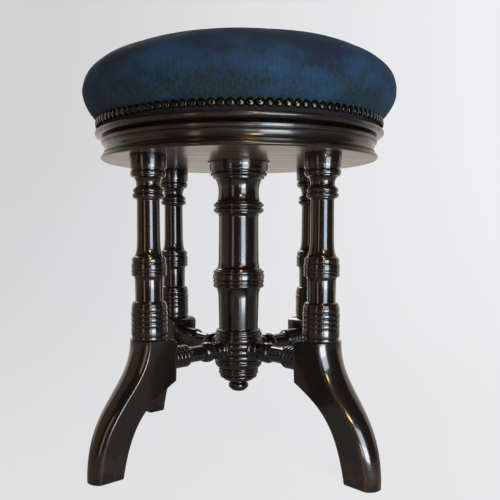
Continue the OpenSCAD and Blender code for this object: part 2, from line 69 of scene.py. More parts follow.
def reach(node, x=0.0, y=0.0, above=-1.0, below=10.0):
    """Largest distance of a solid's corners from the upright line at x, y, between two heights."""
    corners = [v.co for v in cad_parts[node].data.vertices if above <= v.co.z <= below]
    return max(math.hypot(c.x - x, c.y - y) for c in corners)


LEG_TOP = high("front_left_leg")
PLATFORM_LOW, PLATFORM_TOP = low("platform"), high("platform")
BOARD_LOW, BOARD_TOP = low("seat_board"), high("seat_board")
CUSHION_TOP = high("velvet_cover")
CUSHION_R = reach("velvet_cover")
PLATFORM_R = reach("platform")
BOARD_R = reach("seat_board")
NAIL_Z = (low("dome_nails") + high("dome_nails")) / 2
HEM_Z = low("velvet_cover")
COLUMN_OUT = 137 * MM
CORNERS = {"front_left": 225, "front_right": 315, "back_left": 135, "back_right": 45}
corner_point = {name: Vector((COLUMN_OUT, 0, 0)) for name in CORNERS}
for name, degrees in CORNERS.items():
    corner_point[name].rotate(Matrix.Rotation(math.radians(degrees), 3, "Z"))
COLUMN_R = reach("front_left_column", *corner_point["front_left"].xy)
print(f"platform {PLATFORM_R:.4f} m, cushion {CUSHION_R:.4f} m, columns {COLUMN_R:.4f} m")

# %% [markdown]
# ## A camera at the photograph's angle
# The stool was photographed from a little over half its height, close by, with a normal lens held
# almost level. A low view like this looks up at the platform's underside and down on the feet.
# A small shift does the rest of the framing, so the lens is tipped only a few degrees and the
# columns stay nearly upright.

# %% Camera
CAMERA_AT = Vector((37.8, -819.9, 274.2)) * MM
CAMERA_TURN = 3.62
CAMERA_DIP = 4.18


def in_scene(name, data):
    """A new object that holds the data, linked to the scene."""
    thing = bpy.data.objects.new(name, data)
    bpy.context.scene.collection.objects.link(thing)
    return thing


camera_data = bpy.data.cameras.new("camera")
camera_data.lens = 46.66
camera_data.sensor_width = 36
camera_data.shift_x = 0.0449
camera_data.shift_y = 0.0517
camera_data.clip_start = 0.01
camera = in_scene("camera", camera_data)
camera.location = CAMERA_AT
camera.rotation_euler = (math.radians(90 - CAMERA_DIP), 0, math.radians(CAMERA_TURN))
bpy.context.scene.camera = camera
print("camera at", tuple(round(c, 3) for c in camera.location))

# %% [markdown]
# ## Shader maths as plain sums
# Patterns in wood and velvet are sums of noises and masks. Wrapping a node's socket in a small
# class lets them be written as such: `grain * 0.3 + wear` adds the Math nodes by itself. Numbers
# that stay the same all over a surface are set on the shader directly.

# %% A wrapped socket and a finish
class Signal:
    """One value in a material's nodes, with the arithmetic that the finishes use."""

    def __init__(self, finish, socket):
        self.finish = finish
        self.socket = socket

    def maths(self, operation, *values, clamp=False):
        settings = {"operation": operation, "use_clamp": clamp}
        return self.finish.add("ShaderNodeMath", settings, dict(enumerate(values)))

    def __add__(self, other):
        return self.maths("ADD", self, other)

    __radd__ = __add__

    def __mul__(self, other):
        return self.maths("MULTIPLY", self, other)

    def __sub__(self, other):
        return self.maths("SUBTRACT", self, other)

    def __rsub__(self, other):
        return self.maths("SUBTRACT", other, self)

    def clamp(self):
        return self.maths("ADD", self, 0.0, clamp=True)

    def ramp(self, start, end):
        """0 below start, 1 above end, and an even rise between them."""
        return ((self - start) * (1 / (end - start))).clamp()


class Recipe:
    """An empty node tree whose nodes are added one by one."""

    def __init__(self, tree):
        self.tree = tree
        self.tree.nodes.clear()

    def feed(self, socket, value):
        if isinstance(value, Signal):
            self.tree.links.new(value.socket, socket)
        else:
            socket.default_value = value

    def add(self, kind, settings=None, inputs=None, output=0):
        node = self.tree.nodes.new(kind)
        for key, value in (settings or {}).items():
            setattr(node, key, value)
        for key, value in (inputs or {}).items():
            self.feed(node.inputs[key], value)
        return Signal(self, node.outputs[output])

    def is_ray(self, kind):
        return self.add("ShaderNodeLightPath", output=f"Is {kind} Ray")

    def background_share(self, glossy_share):
        """How much of a pale background a ray sees: all for the camera, a share in reflections."""
        straight = self.is_ray("Camera") + self.is_ray("Transmission")
        return (straight + self.is_ray("Glossy") * glossy_share).clamp()


class Finish(Recipe):
    """A material built around a Principled shader."""

    def __init__(self, name):
        self.material = bpy.data.materials.new(name)
        self.material.use_nodes = True
        super().__init__(self.material.node_tree)
        self.shader = self.tree.nodes.new("ShaderNodeBsdfPrincipled")
        self.output = self.tree.nodes.new("ShaderNodeOutputMaterial")
        self.tree.links.new(self.shader.outputs[0], self.output.inputs["Surface"])

    def surface(self, **values):
        for key, value in values.items():
            self.feed(self.shader.inputs[key.replace("_", " ")], value)

    def colour_mix(self, mask, first, second):
        inputs = {0: mask, 6: first, 7: second}
        return self.add("ShaderNodeMix", {"data_type": "RGBA"}, inputs, output=2)

    def attribute(self, name, output=2):
        return self.add("ShaderNodeAttribute", {"attribute_name": name}, output=output)

    def place(self, name=None):
        """Where a point lies: in the piece's own timber, or in the object."""
        if name:
            return self.attribute(name, output=1)
        return self.add("ShaderNodeTexCoord", output="Object")

    def along(self, axis, place):
        """One coordinate of a place: 0 for X, 1 for Y and 2 for Z."""
        return self.add("ShaderNodeSeparateXYZ", None, {"Vector": place}, output=axis)

    def noise(self, place, scale, detail, roughness=0.5, shift=(0, 0, 0)):
        """A noise of one scale, or of three, which squeeze it and draw it out into streaks."""
        if isinstance(scale, tuple):
            inputs = {"Vector": place, "Scale": scale, "Location": shift}
            place, scale = self.add("ShaderNodeMapping", None, inputs), 1.0
        inputs = {"Vector": place, "Scale": scale, "Detail": detail, "Roughness": roughness}
        return self.add("ShaderNodeTexNoise", None, inputs)

    def bump(self, height, distance, strength=1.0, onto=None):
        inputs = {"Height": height, "Distance": distance, "Strength": strength}
        if onto:
            inputs["Normal"] = onto
        return self.add("ShaderNodeBump", None, inputs)


def colour(red, green, blue):
    return (red, green, blue, 1.0)


print("finishes are written with", Signal.__name__, "and", Finish.__name__)

# %% [markdown]
# ## Ebonised wood
# The maker stained a plain hardwood black and French polished it. A century of hands and dusters
# has rubbed the black off whatever stands proud, so the brown shows at beads, rings and arrises,
# while grooves keep dark wax. The polish is a thin clear coat that shows a little of the grain.
# Nobody troubled to stain the platform's underside well, so the brown wood shows through there,
# and its pale brown also stands in for the pale floor seen in the polish, as a painted
# reflection. Shoes have scuffed the feet.
# Each piece carries two attributes: where a point lies in its own timber, with the grain along Z,
# and how far it stands proud of what is around it.

# %% Finish: ebonised wood
STAINED, STAINED_PALER = colour(0.0035, 0.0026, 0.0022), colour(0.0095, 0.0058, 0.0040)
RUBBED, RUBBED_PORES = colour(0.085, 0.042, 0.021), colour(0.045, 0.022, 0.012)
# Under the platform: unstained wood, whose pale brown is also a painted reflection of the floor.
BARE_AND_REFLECTED, BARE_AND_REFLECTED_DARKER = colour(0.13, 0.082, 0.052), colour(0.085, 0.053, 0.032)
OLD_WAX = colour(0.003, 0.0025, 0.0022)


def ebonised(name, rubbed=0.0, show=0.4, matt=0.0, soft_gloss=0.09,
             thin_and_reflecting_below=None, scuffed_below=None):
    """Black polished wood, poorly stained with a painted reflection under one height, or scuffed
    under another.
    """
    finish = Finish(name)
    timber = finish.place("timber")
    proud = finish.attribute("proud")
    streaks = finish.noise(timber, (700, 700, 22), 3.0, 0.6)
    pores = finish.noise(timber, (1900, 1900, 75), 2.0, 0.6)
    patches = finish.noise(timber, 38.0, 3.0, 0.6)
    smears = finish.noise(timber, (60, 60, 16), 3.0, 0.55)
    height = finish.along(2, finish.place())
    wear = proud * 0.7 + (patches - 0.5) * 1.5 + (streaks - 0.5) * 0.7 + rubbed
    if scuffed_below is not None:
        wear = wear + height.ramp(scuffed_below, 0.3 * scuffed_below) * 0.55
    worn = wear.ramp(0.50, 1.2)
    wax = (0.0 - proud).ramp(0.25, 1.0)
    brown = finish.colour_mix(streaks.ramp(0.35, 0.7), STAINED, STAINED_PALER)
    rubbed_brown = finish.colour_mix(pores.ramp(0.4, 0.62), RUBBED, RUBBED_PORES)
    base = finish.colour_mix(worn * show, brown, rubbed_brown)
    base = finish.colour_mix(wax * 0.7, base, OLD_WAX)
    rough = 0.24 + matt + worn * 0.2 + (smears - 0.5) * 0.16
    coat = (1.0 - worn * 0.6) * (0.85 - matt)
    if thin_and_reflecting_below is not None:
        # Painted reflection: below the underside's height the pale brown of unstained wood also
        # stands in for the pale floor seen in the polish.
        thin_and_reflecting = height.ramp(thin_and_reflecting_below + 0.5 * MM, thin_and_reflecting_below)
        waves = finish.noise(timber, (90, 90, 9), 4.0, 0.6)
        bare_and_reflected = finish.colour_mix(waves.ramp(0.35, 0.65), BARE_AND_REFLECTED, BARE_AND_REFLECTED_DARKER)
        base = finish.colour_mix(thin_and_reflecting * 0.9, base, bare_and_reflected)
        rough = rough + thin_and_reflecting * ((waves - 0.5) * 0.25 + 0.04)
        coat = coat * (1.0 - thin_and_reflecting * 0.3)
    skin = finish.bump(streaks * 0.6 + pores * 0.4, 0.05 * MM, 0.35)
    skin = finish.bump(smears, 0.5 * MM, 0.10, onto=skin)
    finish.surface(
        Base_Color=base,
        Roughness=rough.clamp(),
        Coat_Weight=coat.clamp(),
        Coat_Roughness=soft_gloss,
        Coat_IOR=1.5,
        Specular_IOR_Level=0.25,
        Normal=skin,
    )
    return finish.material


wood_turned = ebonised("ebonised_turnings", rubbed=-0.12)
wood_leg = ebonised("ebonised_legs", rubbed=0.06, show=0.75, scuffed_below=55 * MM)
wood_board = ebonised("ebonised_board", rubbed=-0.10, matt=0.10, soft_gloss=0.17)
wood_platform = ebonised("ebonised_platform", rubbed=-0.10, matt=0.10, soft_gloss=0.15,
                         thin_and_reflecting_below=PLATFORM_LOW)
print("wood finishes:", wood_turned.name, wood_leg.name, wood_board.name, wood_platform.name)

# %% [markdown]
# ## Velvet
# Cotton velvet is a short upright pile. Seen square on it is deep teal navy; where the pile leans
# or has worn it turns paler and bluer, in patches. The patches are shifted to fall on the lit front
# and right, so they are partly painted light, a band round the side is painted paler as painted
# light, the crown is painted a little darker as painted shade, and the cloth is darker towards the
# hem. On the side of the seat the cloth was strained down to the nails, so fine streaks run
# downwards there. The soft light along its edges is the shader's sheen. The streaks are noise
# squeezed across and drawn out along Z, and a height mask keeps them off the crown.

# %% Finish: velvet
NAVY, TEAL_NAVY = colour(0.0080, 0.0125, 0.0270), colour(0.0070, 0.0165, 0.0340)
STRAINED, STRAINED_STREAK = colour(0.0075, 0.0165, 0.0210), colour(0.0145, 0.0320, 0.0400)
# Paler blues for worn pile, also used for the painted light on the side of the seat.
WORN_AND_LIT_BLUE, WORN_AND_LIT_NAVY = colour(0.0135, 0.0560, 0.1060), colour(0.0140, 0.0390, 0.0950)
PILE_TIPS = colour(0.0180, 0.0480, 0.0780)
# Height span of the band round the side that is painted paler, as painted light.
LIT_SIDE_SPAN = BOARD_TOP + 62 * MM, BOARD_TOP + 40 * MM
# Height span over which the cloth turns darker towards the hem and takes the strained streaks.
NEAR_HEM_SPAN = BOARD_TOP + 30 * MM, BOARD_TOP + 14 * MM
# Height span of the crown that is painted a little darker, as painted shade.
SHADED_CROWN_SPAN = BOARD_TOP + 58 * MM, BOARD_TOP + 78 * MM


def velvet():
    finish = Finish("teal_velvet")
    place = finish.place()
    height = finish.along(2, place)
    # The shifts put the paler patches on the lit front and right, so they are partly painted light.
    patches = finish.noise(place, (11, 11, 24), 4.0, 0.55, shift=(2.3, 1.1, 0.4))
    blots = finish.noise(place, (55, 55, 75), 3.0, 0.6, shift=(0.7, 3.1, 1.9))
    streaks = finish.noise(place, (430, 430, 30), 3.0, 0.65)
    pile = finish.noise(place, 2600.0, 2.0, 0.6)
    wander = (blots - 0.5) * 22 * MM + (streaks - 0.5) * 14 * MM
    level = height + wander
    # Painted light: a band round the side, which faces the lamps, is made paler.
    side = level.ramp(*LIT_SIDE_SPAN)
    # Towards the hem the paleness is taken down, so the cloth is darker there, and the strained
    # streaks are mixed in.
    near_hem = level.ramp(*NEAR_HEM_SPAN)
    paler_worn_and_lit = (patches - 0.5) * 2.4 + (blots - 0.5) * 1.5 + side * (0.34 + (streaks - 0.5) * 0.8)
    # Painted shade: the crown is made a little darker.
    crown = level.ramp(*SHADED_CROWN_SPAN)
    paler_worn_and_lit = (paler_worn_and_lit - near_hem * 0.22 - crown * 0.08).ramp(0.0, 1.0)
    deep = finish.colour_mix(patches.ramp(0.35, 0.65), NAVY, TEAL_NAVY)
    low_deep = finish.colour_mix(streaks.ramp(0.4, 0.65), STRAINED, STRAINED_STREAK)
    deep = finish.colour_mix(near_hem * 0.85, deep, low_deep)
    light = finish.colour_mix(blots.ramp(0.4, 0.65), WORN_AND_LIT_BLUE, WORN_AND_LIT_NAVY)
    base = finish.colour_mix(paler_worn_and_lit, deep, light)
    base = finish.colour_mix((pile - 0.5).ramp(0.0, 0.3) * 0.35, base, PILE_TIPS)
    nap = finish.bump(pile, 0.25 * MM, 0.5)
    nap = finish.bump(streaks * side + blots * 0.5, 0.7 * MM, 0.35, onto=nap)
    finish.surface(
        Base_Color=base,
        Roughness=(0.82 + (blots - 0.5) * 0.3).clamp(),
        Sheen_Weight=0.10,
        Sheen_Roughness=0.4,
        Sheen_Tint=colour(0.25, 0.50, 0.80),
        Specular_IOR_Level=0.15,
        Normal=nap,
    )
    return finish.material


velvet_finish = velvet()
print("cloth finish:", velvet_finish.name)

# %% [markdown]
# ## Metals and braid
# The nails are brass antiqued to a dark bronze, and only the tops of their domes are rubbed
# bright. The screw is bare iron kept from rust by grease, the nut and plates are cast iron, and
# the wood screws are dull steel. A black braid hides the raw edge of the velvet under the nails.

# %% Finishes: bronze, iron, steel and braid
PATINA, BRIGHT_BRONZE = colour(0.012, 0.011, 0.011), colour(0.085, 0.07, 0.05)
RUST = colour(0.09, 0.035, 0.015)
BRAID, BRAID_THREADS = colour(0.004, 0.004, 0.006), colour(0.010, 0.010, 0.013)


def bronze():
    finish = Finish("antiqued_bronze")
    place = finish.place()
    proud = finish.attribute("proud")
    each = finish.attribute("each_nail")
    patina = finish.noise(place, 420.0, 3.0, 0.6)
    bright = (proud * 1.0 + (patina - 0.5) * 1.1 + (each - 0.5) * 0.6).ramp(0.8, 1.5)
    base = finish.colour_mix(bright, PATINA, BRIGHT_BRONZE)
    finish.surface(
        Base_Color=base,
        Metallic=(0.80 + bright * 0.2).clamp(),
        Roughness=(0.14 - bright * 0.02 + (patina - 0.5) * 0.08).clamp(),
        Normal=finish.bump(patina, 0.08 * MM, 0.4),
    )
    return finish.material


def iron(name, tone, rough, rust):
    finish = Finish(name)
    place = finish.place()
    casting = finish.noise(place, 950.0, 3.0, 0.6)
    stain = finish.noise(place, 90.0, 4.0, 0.6).ramp(0.52, 0.72)
    dark = colour(*(0.55 * t for t in tone))
    base = finish.colour_mix(casting.ramp(0.35, 0.65), colour(*tone), dark)
    base = finish.colour_mix(stain * rust, base, RUST)
    finish.surface(
        Base_Color=base,
        Metallic=(1.0 - stain * rust).clamp(),
        Roughness=(rough + (casting - 0.5) * 0.2 + stain * rust * 0.3).clamp(),
        Normal=finish.bump(casting, 0.12 * MM, 0.35),
    )
    return finish.material


def braid():
    finish = Finish("black_braid")
    place = finish.place("timber")
    bands = {"wave_type": "BANDS", "bands_direction": "DIAGONAL"}
    inputs = {"Vector": place, "Scale": 260.0, "Distortion": 1.5, "Detail": 1.0}
    weave = finish.add("ShaderNodeTexWave", bands, inputs, output=1)
    base = finish.colour_mix(weave, BRAID, BRAID_THREADS)
    finish.surface(
        Base_Color=base,
        Roughness=(0.75 + weave * 0.15).clamp(),
        Specular_IOR_Level=0.2,
        Normal=finish.bump(weave, 0.3 * MM, 0.5),
    )
    return finish.material


bronze_finish = bronze()
cast_finish = iron("cast_iron", (0.055, 0.052, 0.050), 0.48, 0.5)
screw_finish = iron("greased_iron", (0.21, 0.20, 0.19), 0.34, 0.25)
steel_finish = iron("dull_steel", (0.36, 0.35, 0.33), 0.38, 0.2)
braid_finish = braid()
print("metal finishes:", bronze_finish.name, cast_finish.name, screw_finish.name,
      steel_finish.name)

# %% [markdown]
# ## From a mesh to a piece on the stool
# Every piece ends the same way: its mesh is cleaned, its faces point outwards, it is shaded
# smooth with crisp edges where two faces meet at a real corner, it takes its finish and rides on
# its body, and the solids that it stands for are hidden.

# %% A helper that seats a finished piece
SMOOTH_WITHIN = math.radians(38)
SAME_POINT = 0.002 * MM


def mesh_of(name, bm):
    """A new mesh of what was built, which is then let go."""
    mesh = bpy.data.meshes.new(name)
    bm.to_mesh(mesh)
    bm.free()
    return mesh


def seat_piece(name, bm, finish, body, replaced):
    """Turns what was built into a piece of the stool, and hides the solids that it stands for."""
    bmesh.ops.remove_doubles(bm, verts=bm.verts[:], dist=SAME_POINT)
    bmesh.ops.recalc_face_normals(bm, faces=bm.faces[:])
    for face in bm.faces:
        face.smooth = True
    for edge in bm.edges:
        edge.smooth = len(edge.link_faces) == 2 and edge.calc_face_angle() < SMOOTH_WITHIN
    open_edges = sum(1 for edge in bm.edges if len(edge.link_faces) != 2)
    volume = bm.calc_volume() * 1e6
    print(f"{name}: {len(bm.faces)} faces, {open_edges} open edges, {volume:.1f} cm3")
    piece = in_scene(name, mesh_of(name, bm))
    piece.data.materials.append(finish)
    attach(piece, body)
    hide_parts(*replaced)
    return piece


# %% [markdown]
# ## Turned work
# A turner reads a pattern rod: a bead, a fillet, a cove, a longer plain shaft, and so on up the
# piece. The rods below are read the same way. Each mark is a form, its height as a share of the
# whole, and two radius shares: where it starts and ends, or for a bead and a band its edge and
# its crown. A straight part of one thickness needs only one. The marks become one line of
# points, whose corners are eased a little by bevelling the line's vertices, and one full spin
# turns the line into wood. How proud each point stands is worked out on the line, where it is
# easy, and the spin carries it round.

# %% The turner's forms
BEAD_STEPS = 8
COVE_STEPS = 8
BAND_POWER = 0.25
EASED_CORNER = 0.18 * MM
PROUD_SPAN = 2.6 * MM
PROUD_NEAREST = PROUD_SPAN * 0.35
PROUD_FULL = 0.55 * MM
CLOSEST_POINTS = 0.02 * MM


def form_point(form, start, end, s):
    """Height and radius shares at step s, from 0 to 1, along one form."""
    quarter, half = math.pi / 2 * s, math.pi * s
    early, late = math.sin(quarter), 1 - math.cos(quarter)
    rising = end > start
    if form == "line":
        up, out = s, s
    elif form in ("bead", "band"):
        power = 1 if form == "bead" else BAND_POWER
        up, out = (1 - math.cos(half)) / 2, abs(math.sin(half)) ** power
    elif form == "round" or rising == (form == "cove"):
        up, out = early, late
    else:
        up, out = late, early
    return up, start + (end - start) * out


def outline_of(marks, length, radius):
    """The turned line from its lower end up, as (radius, height) pairs."""
    whole = sum(mark[1] for mark in marks)
    points, done = [], 0.0
    for form, share, start, *rest in marks:
        end = rest[0] if rest else start
        steps = {"line": 1, "bead": BEAD_STEPS, "band": BEAD_STEPS + 4}.get(form, COVE_STEPS)
        for i in range(steps + 1):
            height, across = form_point(form, start, end, i / steps)
            points.append((radius * across, length * (done + share * height) / whole))
        done += share
    kept = [points[0]]
    for point in points[1:]:
        if math.dist(point, kept[-1]) > CLOSEST_POINTS:
            kept.append(point)
    return kept


def standing_proud(points):
    """From -1 in a groove to 1 on a crest, for each point of a turned line."""
    marks = []
    for r, z in points:
        near = [p for p in points if abs(p[1] - z) < PROUD_SPAN]
        below = [p[0] for p in near if p[1] < z - PROUD_NEAREST] or [r]
        above = [p[0] for p in near if p[1] > z + PROUD_NEAREST] or [r]
        around = (sum(below) / len(below) + sum(above) / len(above)) / 2
        marks.append(max(-1.0, min(1.0, (r - around) / PROUD_FULL)))
    return marks


print("a bead's crown is", form_point("bead", 0.9, 1.0, 0.5))

# %% [markdown]
# The spin works on a line that is already closed onto the axis at both ends, so the turned piece
# is watertight with no caps to add. The attribute "timber" keeps each point's place as it was on
# the lathe, with the grain along the piece, however the piece is laid afterwards.

# %% Spin a line into a turned piece
SHARP_TURN = math.radians(28)


def spun(points, steps, closed=False, eased=EASED_CORNER):
    """A bmesh turned about Z from a line of (radius, height) points."""
    bm = bmesh.new()
    proud = bm.verts.layers.float.new("proud")
    line = []
    for (r, z), crest in zip(points, standing_proud(points)):
        vert = bm.verts.new((r, 0, z))
        vert[proud] = crest
        line.append(vert)
    pairs = list(zip(line, line[1:]))
    if closed:
        pairs.append((line[-1], line[0]))
    for pair in pairs:
        bm.edges.new(pair)
    if eased:
        corners = [v for v in line if len(v.link_edges) == 2 and turns_sharply(v)]
        bmesh.ops.bevel(bm, geom=corners, offset=eased, offset_type="OFFSET", affect="VERTICES",
                        segments=2, profile=0.5, material=-1)
    bmesh.ops.spin(bm, geom=bm.verts[:] + bm.edges[:], cent=(0, 0, 0), axis=(0, 0, 1),
                   angle=math.tau, steps=steps, use_merge=True)
    bmesh.ops.remove_doubles(bm, verts=bm.verts[:], dist=SAME_POINT)
    return bm


def turns_sharply(vert):
    """Whether the line turns enough at a point, with room beside it, to be eased there."""
    arms = [edge.other_vert(vert).co - vert.co for edge in vert.link_edges]
    long_enough = min(arm.length for arm in arms) > 2.2 * EASED_CORNER
    return long_enough and math.pi - arms[0].angle(arms[1]) > SHARP_TURN


def mark_timber(bm, along="Z", shift=0.0):
    """Keeps each point's place in its own timber, whose grain lies along the named axis."""
    timber = bm.verts.layers.float_vector.new("timber")
    for vert in bm.verts:
        x, y, z = vert.co
        place = {"Z": (x, y, z), "X": (y, z, x)}[along]
        vert[timber] = Vector(place) + Vector((shift, 2 * shift, 3 * shift))


def turned(marks, length, radius, steps, shift):
    """A closed turned piece, standing at the origin."""
    points = [(0, 0), *outline_of(marks, length, radius), (0, length)]
    bm = spun(points, steps)
    mark_timber(bm, shift=shift)
    return bm


def laid(bm, at=(0, 0, 0), turn=0.0, tip=0.0):
    """Tips a piece over from Z, turns it about Z and moves it to its place."""
    matrix = Matrix.Translation(at) @ Matrix.Rotation(turn, 4, "Z") @ Matrix.Rotation(tip, 4, "Y")
    bmesh.ops.transform(bm, matrix=matrix, verts=bm.verts[:])


print("corners are eased by", EASED_CORNER / MM, "mm")

# %% [markdown]
# ## The four outer columns
# Each slim column has a heavy ringed foot on its leg, a short shaft, a triple ring, a tall waisted
# shaft that flares out under a double bead, and a plain drum let into the platform.

# %% Outer columns
COLUMN_MARKS = [
    ("bead", 0.0221, 0.94, 0.965), ("line", 0.0024, 0.925),
    ("band", 0.0442, 0.965, 0.99), ("line", 0.0024, 0.94),
    ("bead", 0.0264, 0.955, 0.99), ("line", 0.0019, 0.94),
    ("bead", 0.0250, 0.955, 0.99), ("line", 0.0019, 0.94),
    ("bead", 0.0284, 0.955, 1.00), ("line", 0.0029, 0.935),
    ("bead", 0.0269, 0.94, 0.975), ("line", 0.0038, 0.95),
    ("ovolo", 0.0212, 0.93, 0.775), ("line", 0.1144, 0.755, 0.77),
    ("cove", 0.0231, 0.77, 0.90), ("line", 0.0019, 0.92),
    ("bead", 0.0154, 0.93, 0.955), ("line", 0.0024, 0.915),
    ("bead", 0.0159, 0.93, 0.96), ("line", 0.0029, 0.915),
    ("round", 0.0303, 0.96, 0.925), ("line", 0.0029, 0.90),
    ("bead", 0.0245, 0.895, 0.925), ("line", 0.0067, 0.865),
    ("cove", 0.0808, 0.845, 0.64), ("line", 0.2173, 0.635, 0.62),
    ("cove", 0.0125, 0.62, 0.73), ("line", 0.0048, 0.76),
    ("bead", 0.0240, 0.79, 0.855), ("line", 0.0038, 0.775),
    ("bead", 0.0212, 0.78, 0.83), ("line", 0.0058, 0.745),
    ("cove", 0.0144, 0.72, 0.645), ("cove", 0.0413, 0.645, 0.88),
    ("line", 0.0058, 0.905), ("bead", 0.0288, 0.915, 0.965),
    ("line", 0.0106, 0.91), ("line", 0.0788, 0.985, 1.00),
]
for index, (corner, degrees) in enumerate(CORNERS.items()):
    bm = turned(COLUMN_MARKS, PLATFORM_LOW - LEG_TOP, COLUMN_R, steps=72, shift=0.31 * (index + 1))
    laid(bm, corner_point[corner] + Vector((0, 0, LEG_TOP)), turn=math.radians(degrees))
    seat_piece(f"{corner}_turned_column", bm, wood_turned, "base",
               [f"{corner}_column"])

# %% [markdown]
# ## The centre column and its pendant
# The thick column hides the long iron screw. Its foot is a round boss, reeded with four beads,
# where the stretchers meet, and a stepped pendant with a button hangs below it.

# %% Centre column and pendant
CENTRE_RIM = 1.05
CENTRE_MARKS = [
    ("ovolo", 0.0308, 0.62, 0.815), ("bead", 0.0166, 0.795, 0.825),
    ("bead", 0.0250, 0.80, 0.84), ("bead", 0.0285, 0.80, 0.84),
    ("bead", 0.0297, 0.80, 0.84), ("bead", 0.0247, 0.80, 0.84),
    ("line", 0.0039, 0.775), ("bead", 0.0170, 0.77, 0.81),
    ("line", 0.0039, 0.775), ("bead", 0.0100, 0.735, 0.76),
    ("cove", 0.0077, 0.72, 0.675), ("line", 0.1511, 0.67, 0.70),
    ("cove", 0.0470, 0.70, 0.825), ("bead", 0.0181, 0.83, 0.87),
    ("line", 0.0019, 0.84), ("bead", 0.0170, 0.845, 0.875),
    ("line", 0.0019, 0.84), ("band", 0.0254, 0.86, 0.88),
    ("line", 0.0019, 0.83), ("bead", 0.0162, 0.835, 0.865),
    ("line", 0.0069, 0.80), ("cove", 0.0331, 0.785, 0.695),
    ("line", 0.2158, 0.69, 0.677), ("cove", 0.0193, 0.68, 0.78),
    ("line", 0.0046, 0.79), ("bead", 0.0208, 0.80, 0.855),
    ("line", 0.0035, 0.785), ("bead", 0.0208, 0.80, 0.855),
    ("line", 0.0058, 0.785), ("cove", 0.0466, 0.765, 0.69),
    ("cove", 0.0628, 0.69, 0.845), ("line", 0.0046, 0.865),
    ("cove", 0.0077, 0.87, 0.915), ("bead", 0.0177, 0.92, 0.965),
    ("line", 0.0035, 0.915), ("ovolo", 0.0173, 0.945, 0.985),
    ("line", 0.0239, 0.985, 1.00), ("line", 0.0069, CENTRE_RIM),
]
PENDANT_MARKS = [
    ("ovolo", 0.1290, 0.00, 0.40), ("bead", 0.2452, 0.41, 0.505),
    ("cove", 0.0387, 0.43, 0.385), ("line", 0.0323, 0.385),
    ("ovolo", 0.1355, 0.42, 0.78), ("line", 0.0161, 0.80),
    ("bead", 0.1355, 0.86, 0.935), ("line", 0.0161, 0.88),
    ("bead", 0.1290, 0.965, 1.00), ("line", 0.0129, 0.93),
    ("bead", 0.0871, 0.965, 1.00), ("line", 0.0226, 0.91),
]
CENTRE_LOW = low("centre_column")
PENDANT_LOW = low("pendant_finial")
PENDANT_R = reach("pendant_finial")
CENTRE_R = reach("centre_column") / CENTRE_RIM
bm = turned(CENTRE_MARKS, PLATFORM_LOW - CENTRE_LOW, CENTRE_R, steps=96, shift=1.7)
laid(bm, (0, 0, CENTRE_LOW))
seat_piece("turned_centre_column", bm, wood_turned, "base", ["centre_column"])
bm = turned(PENDANT_MARKS, CENTRE_LOW - PENDANT_LOW, PENDANT_R, steps=72, shift=2.1)
laid(bm, (0, 0, PENDANT_LOW))
seat_piece("turned_pendant", bm, wood_turned, "base", ["pendant_finial"])

# %% [markdown]
# ## The stretchers
# Four short stretchers run out from the boss to the legs: a flange and a bulb against the boss, a
# plain neck, a bead, and a block of reeds against the leg. They are turned upright like the rest,
# then tipped on their side.

# %% Stretchers
STRETCHER_MARKS = [
    ("line", 0.0351, 1.00), ("ovolo", 0.0211, 1.00, 0.88),
    ("cove", 0.0749, 0.85, 0.70), ("bead", 0.0327, 0.72, 0.80),
    ("line", 0.0117, 0.70), ("line", 0.0468, 0.69, 0.70),
    ("bead", 0.1696, 0.72, 0.93), ("line", 0.0117, 0.71),
    ("line", 0.1871, 0.695, 0.71), ("cove", 0.0994, 0.72, 0.90),
]
STRETCHER_MARKS += 5 * [("bead", 0.0573, 0.94, 1.00), ("line", 0.0047, 0.90)]
stretcher_low, stretcher_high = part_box("front_left_stretcher")
STRETCHER_Z = (stretcher_low.z + stretcher_high.z) / 2
STRETCHER_R = (stretcher_high.z - stretcher_low.z) / 2
BOSS_SHARE = 0.80
BOSS_R = CENTRE_R * BOSS_SHARE
BOSS_SEAT = math.sqrt(BOSS_R ** 2 - STRETCHER_R ** 2)
LEG_INNER = 112 * MM
stretcher_len = LEG_INNER - BOSS_SEAT
for index, (corner, degrees) in enumerate(CORNERS.items()):
    bm = turned(STRETCHER_MARKS, stretcher_len, STRETCHER_R, steps=56, shift=0.7 * (index + 4))
    laid(bm, tip=math.pi / 2)
    laid(bm, Vector((0, 0, STRETCHER_Z)) + corner_point[corner].normalized() * BOSS_SEAT,
         turn=math.radians(degrees))
    seat_piece(f"{corner}_turned_stretcher", bm, wood_turned, "base",
               [f"{corner}_stretcher"])

# %% [markdown]
# ## The platform and the seat board
# Both rounds are faceplate work: a wide disc whose edge is moulded against a scraper. The
# platform's edge has a small bead on top, a quirk, a long hollow, two fine steps and a fat bead
# below. The seat board has a plain rounded nose, and a rebate above it where the covers are
# nailed. Each has a shallow recess for its iron, a tenth of a millimetre wide of it. Their grain
# runs across the disc, so their timber lies along X.

# %% Platform
PLATFORM_MARKS = [
    ("ovolo", 0.0894, 0.984, 1.00), ("round", 0.1362, 1.00, 0.982),
    ("line", 0.0213, 0.9725), ("bead", 0.0638, 0.975, 0.9785),
    ("line", 0.0213, 0.970), ("cove", 0.1915, 0.980, 0.9725),
    ("cove", 0.2511, 0.9725, 0.989), ("line", 0.0213, 0.984),
    ("line", 0.1362, 0.991, 0.9955), ("round", 0.0679, 0.9955, 0.986),
]
ROUND_STEPS = 288
FLANGE_R = reach("column_nut")
FLANGE_DEPTH = 4 * MM
FITTED = 0.1 * MM
edge = outline_of(PLATFORM_MARKS, PLATFORM_TOP - PLATFORM_LOW, PLATFORM_R)
lift = [(r, z + PLATFORM_LOW) for r, z in edge]
recess_z = PLATFORM_TOP - FLANGE_DEPTH
recess = [(FLANGE_R + FITTED, PLATFORM_TOP), (FLANGE_R + FITTED, recess_z), (0, recess_z)]
